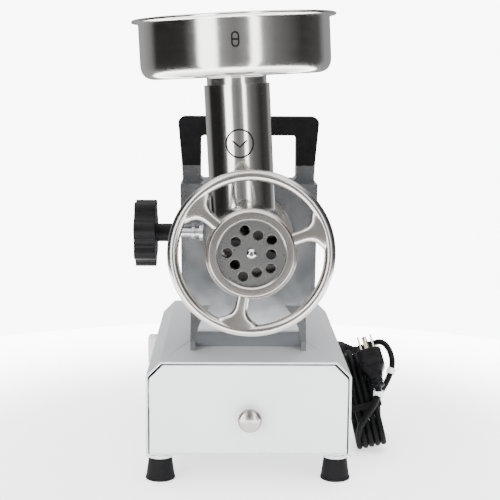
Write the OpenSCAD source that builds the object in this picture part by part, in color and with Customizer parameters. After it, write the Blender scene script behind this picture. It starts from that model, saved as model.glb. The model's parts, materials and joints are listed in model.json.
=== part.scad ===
/* [Cabinet] */
// Overall width of the cabinet
cabinet_width = 183.5; // [160:0.5:240]
// Front to back depth of the cabinet
cabinet_depth = 290; // [270:1:380]
// Height of the folded cabinet body without feet
cabinet_height = 87; // [75:1:130]
// Leg of the slanted top edges
corner_cut = 13; // [6:0.5:20]
// Sheet thickness of the cabinet
sheet = 2; // [1.2:0.1:3]
// Gap round the drawer front
drawer_gap = 1.2; // [0.6:0.1:3]
// Diameter of the drawer knob
drawer_knob_d = 21.5; // [16:0.5:30]

/* [Feet] */
// Height of the rubber feet
foot_height = 21; // [15:0.5:30]
// Diameter where a foot meets the table
foot_bottom_d = 27.5; // [22:0.5:34]
// Diameter at the top of a foot
foot_top_d = 21; // [18:0.5:26]
// Height of the zinc spacer above each foot
spacer_height = 7; // [4:0.5:10]

/* [Gear head] */
// Height of the barrel axis above the cabinet top
axis_height = 110; // [104:1:130]
// Half width of the casting at the shoulder
housing_half = 63; // [63:0.5:72]
// Width of the pedestal where it meets the cabinet
pedestal_width = 107; // [104:1:120]
// Radius of the arched recess
arch_radius = 49; // [40:1:50]
// Thickness of the casting walls
cast_wall = 6; // [5:0.5:8]

/* [Carry handle] */
// Height of the handle grip above the barrel axis
handle_height = 103; // [90:1:125]
// Width of the handle
handle_width = 133; // [130:1:140]
// Height of the grip bar
grip_height = 17.6; // [14:0.2:24]

/* [Grinding head] */
// Lean of the head to the left in degrees
head_lean = 3; // [0:0.5:3]
// Outside diameter of the feed tube
tube_d = 56; // [50:0.5:62]
// Height of the feed tube above the barrel axis
tube_height = 135; // [110:1:170]
// Outside diameter of the grinding plate
plate_d = 62; // [60:0.5:64]
// Thickness of the grinding plate
plate_thickness = 8; // [6:0.5:9]
// Diameter of the plate holes
plate_hole_d = 8.5; // [4:0.5:9]
// Outside diameter of the worm
worm_d = 52; // [50:0.5:53]
// Diameter of the spigot in the socket
spigot_d = 52; // [48:0.5:54]

/* [Ring wheel] */
// Outside diameter of the ring wheel
wheel_d = 136; // [120:1:160]
// Thickness of the wheel rim
rim_d = 9.3; // [7:0.1:12]
// Outside diameter of the wheel hub
hub_d = 74; // [73:0.5:80]
// Opening in front of the grinding plate
opening_d = 54; // [48:0.5:56]

/* [Meat pan] */
// Radius of the pan wall
pan_radius = 81; // [70:1:110]
// Height of the pan
pan_height = 50; // [35:1:70]
// Sheet thickness of the pan
pan_sheet = 1.2; // [0.8:0.1:2]

/* [Lock knob] */
// Diameter of the fluted lock knob
lock_knob_d = 62; // [45:1:70]
// Distance of the knob's outer face from the barrel axis
lock_reach = 103; // [98:1:120]

/* [Motor] */
// Outside diameter of the motor tube
motor_d = 100; // [96:1:104]
// Length of the motor tube
motor_length = 102; // [96:1:120]

/* [Cord] */
// Diameter of the power cord
cord_d = 6; // [5:0.5:8]

/* [Fits] */
// Radial clearance of a running fit
run_fit = 0.05; // [0.02:0.01:0.1]
// Radial clearance of loose sliding pieces
loose_fit = 0.5; // [0.3:0.1:1]

/* [Hidden] */
$fn = 96;
cab_z = foot_height + spacer_height;
top_z = cab_z + cabinet_height;
axis_z = top_z + axis_height;
half_w = cabinet_width / 2;
in_cut = corner_cut - 0.586 * sheet;
foot_x = half_w - 11.4;
foot_front_y = 25;
foot_rear_y = cabinet_depth - 25;

// drawer
front_half = half_w - sheet - drawer_gap;
front_low = cab_z + sheet + drawer_gap;
front_top = top_z - sheet - drawer_gap;
front_cut = corner_cut - 0.586 * (sheet + drawer_gap) + 1;
drawer_mid_z = cab_z + 36;
tray_half = front_half - 14.5;
tray_low = cab_z + 8;
tray_high = top_z - 18;
tray_len = 150;
tray_sheet = 1.2;
flange_z = cab_z + 44;
bulkhead_y = tray_len + 8;

// pedestal and casting stations along the barrel axis
toe_y = 44;
face_y = 58;
case_y = 128;
cover_y = 134;
boss_y = 26;
boss_d = 84;
saddle_z = axis_z + 43;
horn_z = axis_z + 57;
horn_in = 45.3;
handle_y0 = 97;
handle_y1 = 123;
handle_top = axis_z + handle_height;
ped_half = pedestal_width / 2;

// gears
m1 = 1;
m2 = 1.5;
pinion_teeth = 15;
idler_teeth = 60;
small_teeth = 16;
out_teeth = 42;
idler_z = axis_z - m2 * (small_teeth + out_teeth) / 2;
motor_z = idler_z + m1 * (pinion_teeth + idler_teeth) / 2;
backlash = 0.09;
stage1_y0 = 113;
stage1_y1 = 121;
stage2_y0 = 85;
stage2_y1 = 97;
shaft_d = 25;
gear_seat_d = 22;
journal_d = 15;
idler_d = 12;
motor_shaft_d = 12;
tang = 13;
tang_socket = 14.5;

// motor
motor_y1 = cover_y + motor_length;
motor_in = motor_d - 8;
cap_y1 = motor_y1 + 22;
stator_y0 = cover_y + 16;
stator_y1 = stator_y0 + 56;
rotor_d = 51.2;

// head
tube_x = -5;
tube_y = -8;
front_y = -88;
lip = 4;
plate_y0 = front_y + lip;
plate_y1 = plate_y0 + plate_thickness;
barrel_y0 = plate_y0 + 5;
hub_y1 = front_y + 26;
thread_d = hub_d - 7;
barrel_d = hub_d - 4;
bore_d = worm_d + 1.2;
flange_y0 = 18;
flange_y1 = 22;
rear_wall_y = 20;
spigot_y1 = 60;
shank_d = 16;
front_pin_d = 8;
tube_in = tube_d - 4;
seat_in = tube_in - 3;
seat_z = tube_height - 22;
key_a = -78;

// pan
pan_z = tube_height + 6.5;
pan_corner = 13;
lip_r = 4;
neck_out = tube_in / 2 - loose_fit;
rim_r = pan_radius + lip_r + pan_sheet + 0.4;

// lock
lock_y = 44;
lock_z = axis_z;
stud_d = 8;

// switch
rocker_rest = -9;

// cord path
gland_y = 200;
gland_z = cab_z + 51;
gland_out = 20;
hank_x = 34.5;
hank_len = 90;
hank_wide = 42;
hank_thick = 30;
hank_tilt = 12;
hank_mid_y = 140;
plug_x = 36;
plug_y = 95;
plug_z = 70;
// route points: x from the cabinet wall, y and z from the front and the table
lead_route = [
  [20, 200, 79], [26, 200, 79], [32, 199, 81], [38, 197, 85], [44, 193, 89], [50, 187, 91],
  [55, 180, 88], [58, 173, 82], [59, 167, 74], [57, 163, 65], [53, 160, 56], [48, 159, 47],
  [44, 158, 39], [41, 158, 31]
];
tail_route = [
  [18, 122, 21], [18, 119, 26], [19, 115, 32], [21, 111, 37], [25, 106, 42], [29, 101, 47],
  [33, 97, 52], [35, 95, 58], [36, 95, 64], [36, 95, 71]
];

// the object's middle stands over the origin
x_mid = (half_w + gland_out - lock_reach) / 2;
y_mid = (cabinet_depth + tube_y - rim_r) / 2;

module placed() { translate([-x_mid, -y_mid, 0]) children(); }
module on_axis() { translate([0, 0, axis_z]) children(); }
module leaned() { on_axis() rotate([0, -head_lean, 0]) children(); }
module along_y(y0, y1) {
  translate([0, y1, 0]) rotate([90, 0, 0]) linear_extrude(y1 - y0) children();
}
module along_x(x0, x1) {
  translate([x0, 0, 0]) rotate([90, 0, 90]) linear_extrude(x1 - x0) children();
}
module rod_y(d, y0, y1, x = 0, z = 0) {
  translate([x, y1, z]) rotate([90, 0, 0]) cylinder(d = d, h = y1 - y0);
}
module rod_x(d, x0, x1, y = 0, z = 0) {
  translate([x0, y, z]) rotate([0, 90, 0]) cylinder(d = d, h = x1 - x0);
}
module rod_z(d, z0, z1, x = 0, y = 0) {
  translate([x, y, z0]) cylinder(d = d, h = z1 - z0);
}
module box(x0, x1, y0, y1, z0, z1) {
  translate([x0, y0, z0]) cube([x1 - x0, y1 - y0, z1 - z0]);
}
module turned_y(y0) {
  translate([0, y0, 0]) rotate([90, 0, 0]) rotate_extrude() children();
}
module at_feet() {
  for (x = [-foot_x, foot_x], y = [foot_front_y, foot_rear_y]) {
    translate([x, y, 0]) children();
  }
}
// section of the cabinet drawn smaller by t on every side
module case_section(t) {
  w = half_w - t;
  c = corner_cut - 0.586 * t;
  polygon([
    [-w, cab_z + t], [w, cab_z + t], [w, top_z - t - c], [w - c, top_z - t],
    [-w + c, top_z - t], [-w, top_z - t - c]
  ]);
}
function inv(a) = tan(a) * 180 / PI - a;
function half_tooth(r, rb, z) =
  90 / z + inv(20) - (r > rb ? inv(acos(rb / r)) : 0);
function spot(r, a) = [r * cos(a), r * sin(a)];
// spur gear section with a tooth centred on +X
module gear2d(m, z) {
  r = m * z / 2;
  rb = r * cos(20);
  ra = r + 0.95 * m;
  rf = r - 1.22 * m;
  rl = max(rb, rf + 0.05);
  slack = backlash / r * 180 / PI;
  polygon([
    for (i = [0:z - 1], q = [
      [rf, -1], [rl, -1], [r, -1], [(r + ra) / 2, -1], [ra, -1],
      [ra, 1], [(r + ra) / 2, 1], [r, 1], [rl, 1], [rf, 1]
    ]) spot(q[0], i * 360 / z + q[1] * (half_tooth(max(q[0], rl), rb, z) - slack))
  ]);
}

module cabinet_shell() {
  color("#c9cbce") difference() {
    union() {
      along_y(0, cabinet_depth) difference() {
        case_section(0);
        case_section(sheet);
        translate([-half_w + sheet, cab_z - 1]) square([cabinet_width - 2 * sheet, 6]);
      }
      along_y(cabinet_depth - sheet, cabinet_depth) case_section(sheet / 2);
    }
    for (z = [0:5]) box(-40, 40, cabinet_depth - 5, cabinet_depth + 5,
      cab_z + 22 + 8 * z, cab_z + 25 + 8 * z);
    box(-half_w - 1, -half_w + 5, 167.5, 182.5, cab_z + 48.5, cab_z + 68.5);
    rod_x(14.2, half_w - 5, half_w + 5, gland_y, gland_z);
    at_bolts() rod_z(6.4, top_z - 5, top_z + 2);
    rod_z(16, top_z - 5, top_z + 2, 0, 108);
  }
}
module cabinet_floor() {
  color("#b5b8bb") difference() {
    union() {
      box(-half_w + sheet, half_w - sheet, 4, cabinet_depth - sheet, cab_z, cab_z + sheet);
      at_feet() rod_z(9.2, cab_z + 1, cab_z + sheet + 4, $fn = 6);
    }
    at_feet() rod_z(5.04, cab_z - 1, cab_z + 9);
    for (y = [195:12:255]) box(-45, 45, y, y + 4, cab_z - 1, cab_z + 5);
  }
}
module cabinet_bulkhead() {
  color("#b5b8bb") difference() {
    along_y(bulkhead_y, bulkhead_y + 1.5) difference() {
      case_section(sheet);
    }
    rod_y(14, bulkhead_y - 2, bulkhead_y + 4, 60, top_z - 14);
  }
}
module feet() {
  color("#161617") at_feet() difference() {
    cylinder(d1 = foot_bottom_d, d2 = foot_top_d, h = foot_height);
    translate([0, 0, -1]) cylinder(d = 12, h = 8);
    translate([0, 0, -1]) cylinder(d = 5.4, h = foot_height + 2);
  }
}
module foot_spacers() {
  color("#c4c6c8") at_feet() difference() {
    translate([0, 0, foot_height]) cylinder(d = 24, h = spacer_height);
    translate([0, 0, foot_height - 1]) cylinder(d = 5.4, h = spacer_height + 2);
  }
}
module foot_screws() {
  color("#b0b2b4") at_feet() difference() {
    union() {
      translate([0, 0, 4]) cylinder(d = 9.5, h = 3);
      translate([0, 0, 6]) cylinder(d = 5, h = cab_z + 2);
    }
    translate([-3.5, -0.6, 3]) cube([7, 1.2, 2.2]);
    translate([-0.6, -3.5, 3]) cube([1.2, 7, 2.2]);
  }
}
module drawer_runners() {
  color("#c2c4c6") for (s = [-1, 1]) scale([s, 1, 1]) difference() {
    union() {
      box(half_w - sheet - 1.5, half_w - sheet, 8, 154, flange_z - 1.2, flange_z + 24);
      box(tray_half + 2, half_w - sheet, 8, 154, flange_z - 1.2, flange_z);
      box(tray_half + 2, half_w - sheet, 8, 154, flange_z + 2, flange_z + 3.2);
    }
    for (y = [30, 130]) rod_x(3.2, half_w - 6, half_w, y, flange_z + 13);
  }
}
module drawer_tray() {
  color("#c8cacc") difference() {
    union() {
      box(-tray_half, tray_half, 3, 3 + tray_len, tray_low, tray_high);
      box(-tray_half - 10, tray_half + 10, 3, 3 + tray_len, flange_z, flange_z + 1.2);
    }
    box(-tray_half + tray_sheet, tray_half - tray_sheet, 3 + tray_sheet,
      3 + tray_len - tray_sheet, tray_low + tray_sheet, tray_high + 5);
    rod_y(4.2, 0, 8, 1, drawer_mid_z);
  }
}
module drawer_front() {
  color("#eceeef") difference() {
    along_y(0, 3) polygon([
      [-front_half, front_low], [front_half, front_low],
      [front_half, front_top - front_cut], [front_half - front_cut, front_top],
      [-front_half + front_cut, front_top], [-front_half, front_top - front_cut]
    ]);
    rod_y(4.2, -2, 8, 1, drawer_mid_z);
  }
}
module drawer_knob() {
  color("#bfc0c0") translate([1, 0, drawer_mid_z]) {
    turned_y(0) {
      square([5, 8]);
      translate([0, 7]) square([drawer_knob_d / 2 - 1.5, 4]);
      translate([drawer_knob_d / 2 - 2, 9]) circle(r = 2, $fn = 48);
      intersection() {
        translate([0, -6.5]) circle(r = 21.5);
        translate([0, 9]) square([drawer_knob_d / 2 - 1.6, 12]);
      }
    }
  }
  color("#bfc0c0") translate([1, 0, drawer_mid_z]) {
    rod_y(4, -2, 8);
    rod_y(8, 3 + tray_sheet, 7.4, $fn = 6);
  }
}

module at_bolts() {
  for (x = [-44, 44], y = [78, 114]) translate([x, y, 0]) children();
}
// front outline of the casting without the pedestal
module case_front(t) {
  w = housing_half - t;
  b = 62 - t;
  difference() {
    polygon([
      [-ped_half + t, top_z + 34 + t], [ped_half - t, top_z + 34 + t], [b, top_z + 52 + t / 2],
      [w, saddle_z - t], [-w, saddle_z - t], [-b, top_z + 52 + t / 2]
    ]);
  }
}
module gear_housing() {
  color("#a4a6a8") difference() {
    union() {
      along_y(face_y, case_y) case_front(0);
      along_x(-ped_half, ped_half) polygon([
        [toe_y, top_z], [case_y + 8, top_z], [case_y + 8, top_z + 9], [case_y, top_z + 14],
        [case_y, top_z + 40], [face_y, top_z + 52], [face_y, top_z + 40], [toe_y, top_z + 9]
      ]);
      on_axis() {
        rod_y(boss_d, boss_y + 9, face_y + 1);
        rod_y(boss_d - 3.5, boss_y + 4, face_y);
        rod_y(boss_d - 7, boss_y, face_y);
        rod_y(57, face_y + 8, 78);
      }
      rod_y(24, face_y + 8, 78, 0, idler_z);
      for (s = [-1, 1]) scale([s, 1, 1]) difference() {
        along_y(handle_y0, handle_y1) polygon([
          [horn_in, horn_z], [horn_in, saddle_z + 3], [horn_in - 3, saddle_z],
          [horn_in - 3, saddle_z - 5], [housing_half - 1, saddle_z - 5],
          [housing_half, horn_z]
        ]);
        rod_z(6.4, horn_z - 12, horn_z + 2, 55, 110);
      }
      for (p = cover_spots) rod_y(11, face_y + 8, case_y, p[0], p[1]);
      for (p = bridge_spots) rod_y(10, face_y + 8, 101, p[0], p[1]);
    }
    // gear room
    difference() {
      along_y(face_y + 10, case_y + 9) case_front(cast_wall);
      on_axis() rod_y(57, face_y + 8, 78);
      rod_y(24, face_y + 8, 78, 0, idler_z);
      for (p = cover_spots) rod_y(11, face_y + 8, case_y, p[0], p[1]);
      for (p = bridge_spots) rod_y(10, face_y + 8, 101, p[0], p[1]);
    }
    // arch in the front and the hollow under the gear room
    rod_y(2 * arch_radius, toe_y - 5, face_y + 4, 0, top_z + 4);
    box(-arch_radius, arch_radius, toe_y - 5, face_y + 4, top_z - 1, top_z + 4);
    box(-40, 40, face_y + 10, case_y - 8, top_z - 1, top_z + 26);
    rod_y(m1 * idler_teeth + 6, stage1_y0 - 3, case_y + 1, 0, idler_z);
    // socket, bearing seats and tapped holes
    on_axis() {
      rod_y(spigot_d + 2 * run_fit, boss_y - 1, face_y + 4);
      rod_y(40, face_y, 70);
      rod_y(47, 66, 79);
      rod_x(14, -45, -20, lock_y, 0);
      translate([0, 0, 0]) rod_y(5, boss_y - 2, boss_y + 8, 0, -35);
    }
    rod_y(18, 68, 79, 0, idler_z);
    for (p = cover_spots) rod_y(5, case_y - 14, case_y + 1, p[0], p[1]);
    for (p = bridge_spots) rod_y(4, 90, 102, p[0], p[1]);
    at_bolts() rod_z(6, top_z - 1, top_z + 11);
  }
}
cover_spots = [
  [-50, axis_z - 52], [50, axis_z - 52], [-53, axis_z + 32], [53, axis_z + 32]
];
bridge_spots = [[-44, axis_z], [44, axis_z]];
module gear_cover() {
  color("#9da0a2") difference() {
    union() {
      along_y(case_y, cover_y) case_front(0);
      rod_y(40, 123, case_y + 1, 0, motor_z);
      rod_y(26, 123, case_y + 1, 0, idler_z);
    }
    rod_y(32, 124, cover_y + 1, 0, motor_z);
    rod_y(18, 122, cover_y - 2, 0, idler_z);
    rod_y(19, 122, cover_y + 1, 0, motor_z);
    for (p = cover_spots) rod_y(5.4, case_y - 1, cover_y + 1, p[0], p[1]);
  }
}
module bearing_bridge() {
  color("#9da0a2") difference() {
    union() {
      along_y(101, 110) translate([-49, axis_z - 8]) square([98, 16]);
      rod_y(40, 101, 110, 0, axis_z);
    }
    rod_y(32, 100, 111, 0, axis_z);
    for (p = bridge_spots) rod_y(4.4, 100, 111, p[0], p[1]);
  }
}
module ring_y(do, di, y0, y1, z) {
  difference() {
    rod_y(do, y0, y1, 0, z);
    rod_y(di, y0 - 1, y1 + 1, 0, z);
  }
}
module bearings() {
  color("#b9bcbf") {
    ring_y(47, shaft_d + 2 * run_fit, 66, 78, axis_z);
    ring_y(32, journal_d + 2 * run_fit, 101, 110, axis_z);
    ring_y(18, idler_d + 2 * run_fit, 68, 78, idler_z);
    ring_y(18, idler_d + 2 * run_fit, 124, 132, idler_z);
    ring_y(32, motor_shaft_d + 2 * run_fit, 124, cover_y, motor_z);
    ring_y(28, motor_shaft_d + 2 * run_fit, motor_y1 + 6, motor_y1 + 14, motor_z);
  }
}
module housing_screws() {
  color("#55585b") {
    for (p = cover_spots) {
      rod_y(5, case_y - 12, cover_y + 1, p[0], p[1]);
      difference() {
        rod_y(8.5, cover_y, cover_y + 5, p[0], p[1]);
        rod_y(4.2, cover_y + 2.4, cover_y + 6, p[0], p[1], $fn = 6);
      }
    }
    for (p = bridge_spots) {
      rod_y(4, 92, 111, p[0], p[1]);
      rod_y(7, 110, 114, p[0], p[1]);
    }
  }
}
module pedestal_bolts() {
  color("#b0b2b4") at_bolts() {
    translate([0, 0, top_z - sheet - 8]) cylinder(d = 6, h = 18);
    translate([0, 0, top_z - sheet - 4]) cylinder(d = 11, h = 4, $fn = 6);
  }
}
module index_pin() {
  color("#c4c6c8") on_axis() rod_y(5, flange_y0 - 1, boss_y + 8, 0, -35);
}
module lock_bush() {
  color("#c8b273") on_axis() difference() {
    rod_x(14, -45, -spigot_d / 2 - 2, lock_y, 0);
    rod_x(stud_d + 2 * run_fit, -50, -20, lock_y, 0);
  }
}
module lock_stud() {
  color("#cfd1d3") on_axis() union() {
    rod_x(stud_d, -lock_reach + 15, -spigot_d / 2 - 0.3, lock_y, 0);
    rod_x(stud_d + 3, -52, -49, lock_y, 0);
  }
}
module lock_knob() {
  color("#1b1b1c") on_axis() difference() {
    union() {
      along_x(-lock_reach, -lock_reach + 19) translate([lock_y, 0]) difference() {
        union() {
          circle(d = lock_knob_d - 8);
          for (i = [0:6]) rotate(i * 360 / 7 + 12.9)
            translate([lock_knob_d / 2 - 7.5, 0]) circle(r = 7.5);
        }
        for (i = [0:6]) rotate((i + 0.5) * 360 / 7 + 12.9)
          translate([lock_knob_d / 2 + 1.5, 0]) circle(r = 6.5);
      }
      rod_x(16.5, -lock_reach + 18, -70, lock_y, 0);
    }
    rod_x(stud_d + 0.04, -lock_reach + 14.9, -60, lock_y, 0);
    rod_x(30, -lock_reach - 1, -lock_reach + 1.5, lock_y, 0);
  }
}
// points of a quarter round corner of radius r about c, starting at angle a and going down
function corner(c, r, a) = [for (k = [0:6]) c + spot(r, a - 15 * k)];
module grip_gap() {
  h = handle_top - grip_height;
  polygon(concat(
    [[-horn_in, horn_z - 1]], corner([-horn_in + 4, h - 4], 4, 180),
    corner([horn_in - 4, h - 4], 4, 90), [[horn_in, horn_z - 1]]
  ));
}
module carry_handle() {
  w = handle_width / 2;
  color("#141415") difference() {
    along_y(handle_y0, handle_y1) difference() {
      polygon(concat(
        [[-housing_half, horn_z]], corner([-w + 6, handle_top - 6], 6, 180),
        corner([w - 6, handle_top - 6], 6, 90), [[housing_half, horn_z]]
      ));
      grip_gap();
    }
    for (x = [-55, 55]) rod_z(6, horn_z - 1, horn_z + 14, x, 110);
  }
}
module handle_screws() {
  color("#b0b2b4") for (x = [-55, 55]) {
    rod_z(6, horn_z - 11, horn_z + 12, x, 110);
  }
}

module output_shaft() {
  color("#8f9295") on_axis() difference() {
    union() {
      rod_y(shaft_d, 63, stage2_y0);
      rod_y(gear_seat_d, stage2_y0 - 1, 98);
      rod_y(journal_d, 97, 110.5);
    }
    box(-tang_socket / 2, tang_socket / 2, 62, 80, -tang_socket / 2, tang_socket / 2);
  }
}
module output_gear() {
  color("#a08d5c") on_axis() difference() {
    along_y(stage2_y0, stage2_y1) rotate(-90) gear2d(m2, out_teeth);
    rod_y(gear_seat_d, stage2_y0 - 1, stage2_y1 + 1);
    for (i = [0:5]) rotate([0, i * 60, 0]) rod_y(9, stage2_y0 - 1, stage2_y1 + 1, 20.5, 0);
  }
}
module idler_shaft() {
  color("#8f9295") rod_y(idler_d, 69, 131, 0, idler_z);
}
module idler_gear() {
  color("#e4ddc8") translate([0, 0, idler_z]) difference() {
    along_y(stage1_y0, stage1_y1) rotate(90 + 180 / idler_teeth) gear2d(m1, idler_teeth);
    rod_y(idler_d, stage1_y0 - 1, stage1_y1 + 1);
    for (i = [0:5]) rotate([0, i * 60, 0]) rod_y(10, stage1_y0 - 1, stage1_y1 + 1, 18.5, 0);
  }
}
module idler_pinion() {
  color("#8f9295") translate([0, 0, idler_z]) difference() {
    along_y(stage2_y0 - 1, stage2_y1 + 1) rotate(90 + 180 / small_teeth) gear2d(m2, small_teeth);
    rod_y(idler_d, stage2_y0 - 3, stage2_y1 + 3);
  }
}

module motor_tube() {
  color("#bfc1c3") difference() {
    rod_y(motor_d, cover_y, motor_y1, 0, motor_z);
    rod_y(motor_in, cover_y - 1, motor_y1 + 1, 0, motor_z);
    for (i = [-2:2]) rotate([0, 0, 0]) box(i * 11 - 2.2, i * 11 + 2.2, motor_y1 - 26, motor_y1 - 6,
      motor_z - motor_d / 2 - 2, motor_z - motor_d / 2 + 14);
  }
}
module stator_core() {
  color("#6d7073") difference() {
    rod_y(motor_in, stator_y0, stator_y1, 0, motor_z);
    rod_y(rotor_d + 0.8, stator_y0 - 1, stator_y1 + 1, 0, motor_z);
    for (i = [0:11]) translate([0, 0, motor_z]) rotate([0, i * 30, 0])
      box(26.6, 36, stator_y0 - 1, stator_y1 + 1, -2.6, 2.6);
  }
}
module windings() {
  color("#a4552a") for (y = [[stator_y0 - 9, stator_y0], [stator_y1, stator_y1 + 9]]) {
    ring_y(78, 58, y[0], y[1], motor_z);
  }
}
module motor_cap() {
  color("#2a2b2d") difference() {
    rod_y(motor_d, motor_y1, cap_y1, 0, motor_z);
    difference() {
      rod_y(motor_in, motor_y1 - 1, cap_y1 - 4, 0, motor_z);
      rod_y(38, motor_y1 + 6, cap_y1, 0, motor_z);
    }
    rod_y(28, motor_y1 - 1, motor_y1 + 14, 0, motor_z);
    for (i = [0:15]) translate([0, 0, motor_z]) rotate([0, i * 22.5, 0])
      box(22, 40, cap_y1 - 6, cap_y1 + 1, -2, 2);
  }
}
module motor_cradle() {
  color("#9da0a2") difference() {
    box(-36, 36, 176, 206, top_z, motor_z - 30);
    rod_y(motor_d, 170, 212, 0, motor_z);
    box(-28, 28, 170, 212, top_z + 8, top_z + 36);
  }
}
module rotor_core() {
  color("#7d8083") ring_y(rotor_d, motor_shaft_d, stator_y0, stator_y1, motor_z);
}
module motor_shaft() {
  color("#a3a6a9") rod_y(motor_shaft_d, stage1_y1 + 1, motor_y1 + 13.5, 0, motor_z);
  color("#a3a6a9") rod_y(9, stage1_y0 - 2, stage1_y1 + 1, 0, motor_z);
}
module motor_pinion() {
  color("#8f9295") translate([0, 0, motor_z]) difference() {
    along_y(stage1_y0 - 1, stage1_y1 + 1) rotate(-90) gear2d(m1, pinion_teeth);
    rod_y(9, stage1_y0 - 3, stage1_y1 + 3);
  }
}
module cooling_fan() {
  color("#303234") translate([0, 0, motor_z]) difference() {
    union() {
      rod_y(26, motor_y1 - 14, motor_y1 - 2);
      rod_y(78, motor_y1 - 14, motor_y1 - 12);
      for (i = [0:8]) rotate([0, i * 40, 0]) box(11, 39, motor_y1 - 13, motor_y1 - 2, -1, 1);
    }
    rod_y(motor_shaft_d, motor_y1 - 20, motor_y1);
  }
}
module capacitor() {
  color("#d8d9da") rod_x(35, -20, 50, 238, cab_z + sheet + 19.5);
}
module capacitor_clamp() {
  color("#b0b2b4") difference() {
    union() {
      rod_x(39, 8, 20, 238, cab_z + sheet + 19.5);
      box(8, 20, 210, 266, cab_z + sheet, cab_z + sheet + 2);
      box(8, 20, 222, 254, cab_z + sheet, cab_z + sheet + 12);
    }
    rod_x(35, 0, 30, 238, cab_z + sheet + 19.5);
  }
}
module terminal_block() {
  color("#ececea") difference() {
    box(-60, -36, 200, 250, cab_z + sheet, cab_z + sheet + 16);
    for (i = [0:4]) {
      rod_z(4.5, cab_z + sheet + 6, cab_z + sheet + 20, -48, 205 + 10 * i);
    }
  }
}
module switch_frame() {
  color("#d5d8da") difference() {
    union() {
      box(-half_w - 9, -half_w, 164, 186, cab_z + 45.5, cab_z + 71.5);
      box(-half_w, -half_w + 18, 168, 182, cab_z + 49, cab_z + 68);
    }
    box(-half_w - 10, -half_w + 16, 169.2, 180.8, cab_z + 50.5, cab_z + 66.5);
  }
}
module switch_rocker() {
  color("#151516") translate([-half_w - 2, 0, cab_z + 58.5]) rotate([0, rocker_rest, 0]) difference() {
    intersection() {
      rod_y(15.6, 169.6, 180.4);
      box(-12, 7, 169, 181, -7.6, 7.6);
    }
    rod_y(18, 160, 190, -15.2, 0);
  }
}
module cable_gland() {
  color("#161617") translate([half_w, gland_y, gland_z]) difference() {
    rotate([0, 90, 0]) union() {
      cylinder(d = 21, h = 5, $fn = 6);
      translate([0, 0, -6]) cylinder(d = 14, h = 8);
      translate([0, 0, 5]) cylinder(d1 = 20, d2 = 18, h = 7);
      translate([0, 0, 12]) cylinder(d1 = 17, d2 = 10, h = gland_out - 12);
      translate([0, 0, -6]) cylinder(d = 18, h = 4, $fn = 6);
    }
    rod_x(cord_d + 0.6, -10, gland_out + 1);
  }
}

module seal_ring() {
  color("#e7e7e4") on_axis() ring_y(63, spigot_d + 2 * run_fit, flange_y1, boss_y, 0);
}
module head_body() {
  color("#b3b0ab") leaned() difference() {
    union() {
      rod_y(barrel_d, hub_y1 + 2, flange_y0 + 1);
      rod_y(thread_d, barrel_y0, hub_y1 + 3);
      rod_y(78, flange_y0, flange_y1);
      rod_y(spigot_d, flange_y1 - 1, spigot_y1);
      rod_z(tube_d, 0, tube_height, tube_x, tube_y);
    }
    rod_y(bore_d, barrel_y0 - 1, rear_wall_y);
    rod_y(plate_d + 0.2, barrel_y0 - 1, plate_y1 + 3);
    rod_z(seat_in, 0, seat_z + 1, tube_x, tube_y);
    rod_z(tube_in, seat_z, tube_height + 1, tube_x, tube_y);
    rod_y(24, rear_wall_y - 1, spigot_y1 + 1);
    box(-4.55, 4.55, flange_y0 - 2, flange_y1 + 2, -40, -31.7);
  }
  // key that stops the plate turning
  color("#b3b0ab") leaned() rotate([0, -key_a, 0]) intersection() {
    rod_y(3, plate_y0 + 1.5, plate_y1 + 4, plate_d / 2, 0);
    box(0, plate_d, plate_y0, plate_y1 + 4, -3, 3);
  }
}
module head_bush() {
  color("#c8b273") leaned() ring_y(24, shank_d + 2 * run_fit, rear_wall_y, spigot_y1 - 2, 0);
}
// twisted worm section: round core with one rounded flight
module worm_section() {
  polygon([
    for (i = [0:23]) let (a = i * 15, d = abs(a > 180 ? 360 - a : a),
      r = d <= 15 ? worm_d / 2 : d <= 30 ? worm_d / 2 - 1.5 : d <= 45 ? 18 : 12.5)
      spot(r, a)
  ]);
}
module worm() {
  color("#b9bbbd") leaned() difference() {
    translate([0, rear_wall_y - 3, 0]) rotate([90, 0, 0])
      linear_extrude(rear_wall_y - 3 - plate_y1 - 9, twist = -1020, slices = 96, $fn = 12)
        worm_section();
    rod_y(12, rear_wall_y - 25, rear_wall_y);
    rod_y(12, plate_y1 + 8, plate_y1 + 36);
  }
}
module worm_shank() {
  color("#a9acaf") leaned() {
    rod_y(12, rear_wall_y - 25, rear_wall_y - 2);
    rod_y(shank_d, rear_wall_y - 3, spigot_y1 - 1);
    box(-tang / 2, tang / 2, spigot_y1 - 1.5, 77, -tang / 2, tang / 2);
  }
}
module front_pin() {
  color("#d5d7d9") leaned() {
    rod_y(11.96, plate_y1 + 8.6, plate_y1 + 36);
    box(-5, 5, plate_y1, plate_y1 + 8.8, -5, 5);
    rod_y(front_pin_d, front_y + 2.5, plate_y1 + 1);
    translate([0, front_y + 2.5, 0]) rotate([90, 0, 0]) cylinder(d1 = front_pin_d, d2 = 4, h = 1.6);
  }
}
module thrust_washer() {
  color("#e9e6dd") leaned() ring_y(40, shank_d, rear_wall_y - 3, rear_wall_y, 0);
}
module cross_knife() {
  color("#aeb2b6") leaned() difference() {
    union() {
      rod_y(22, plate_y1, plate_y1 + 8.6);
      for (i = [0:3]) rotate([0, i * 90 + 20, 0]) along_y(plate_y1, plate_y1 + 5) polygon([
        [0, -7], [14, -6], [24.5, -4], [25.2, 0], [24.5, 5.5], [14, 5], [0, 6]
      ]);
    }
    box(-5.05, 5.05, plate_y1 - 1, plate_y1 + 12, -5.05, 5.05);
  }
}
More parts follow.
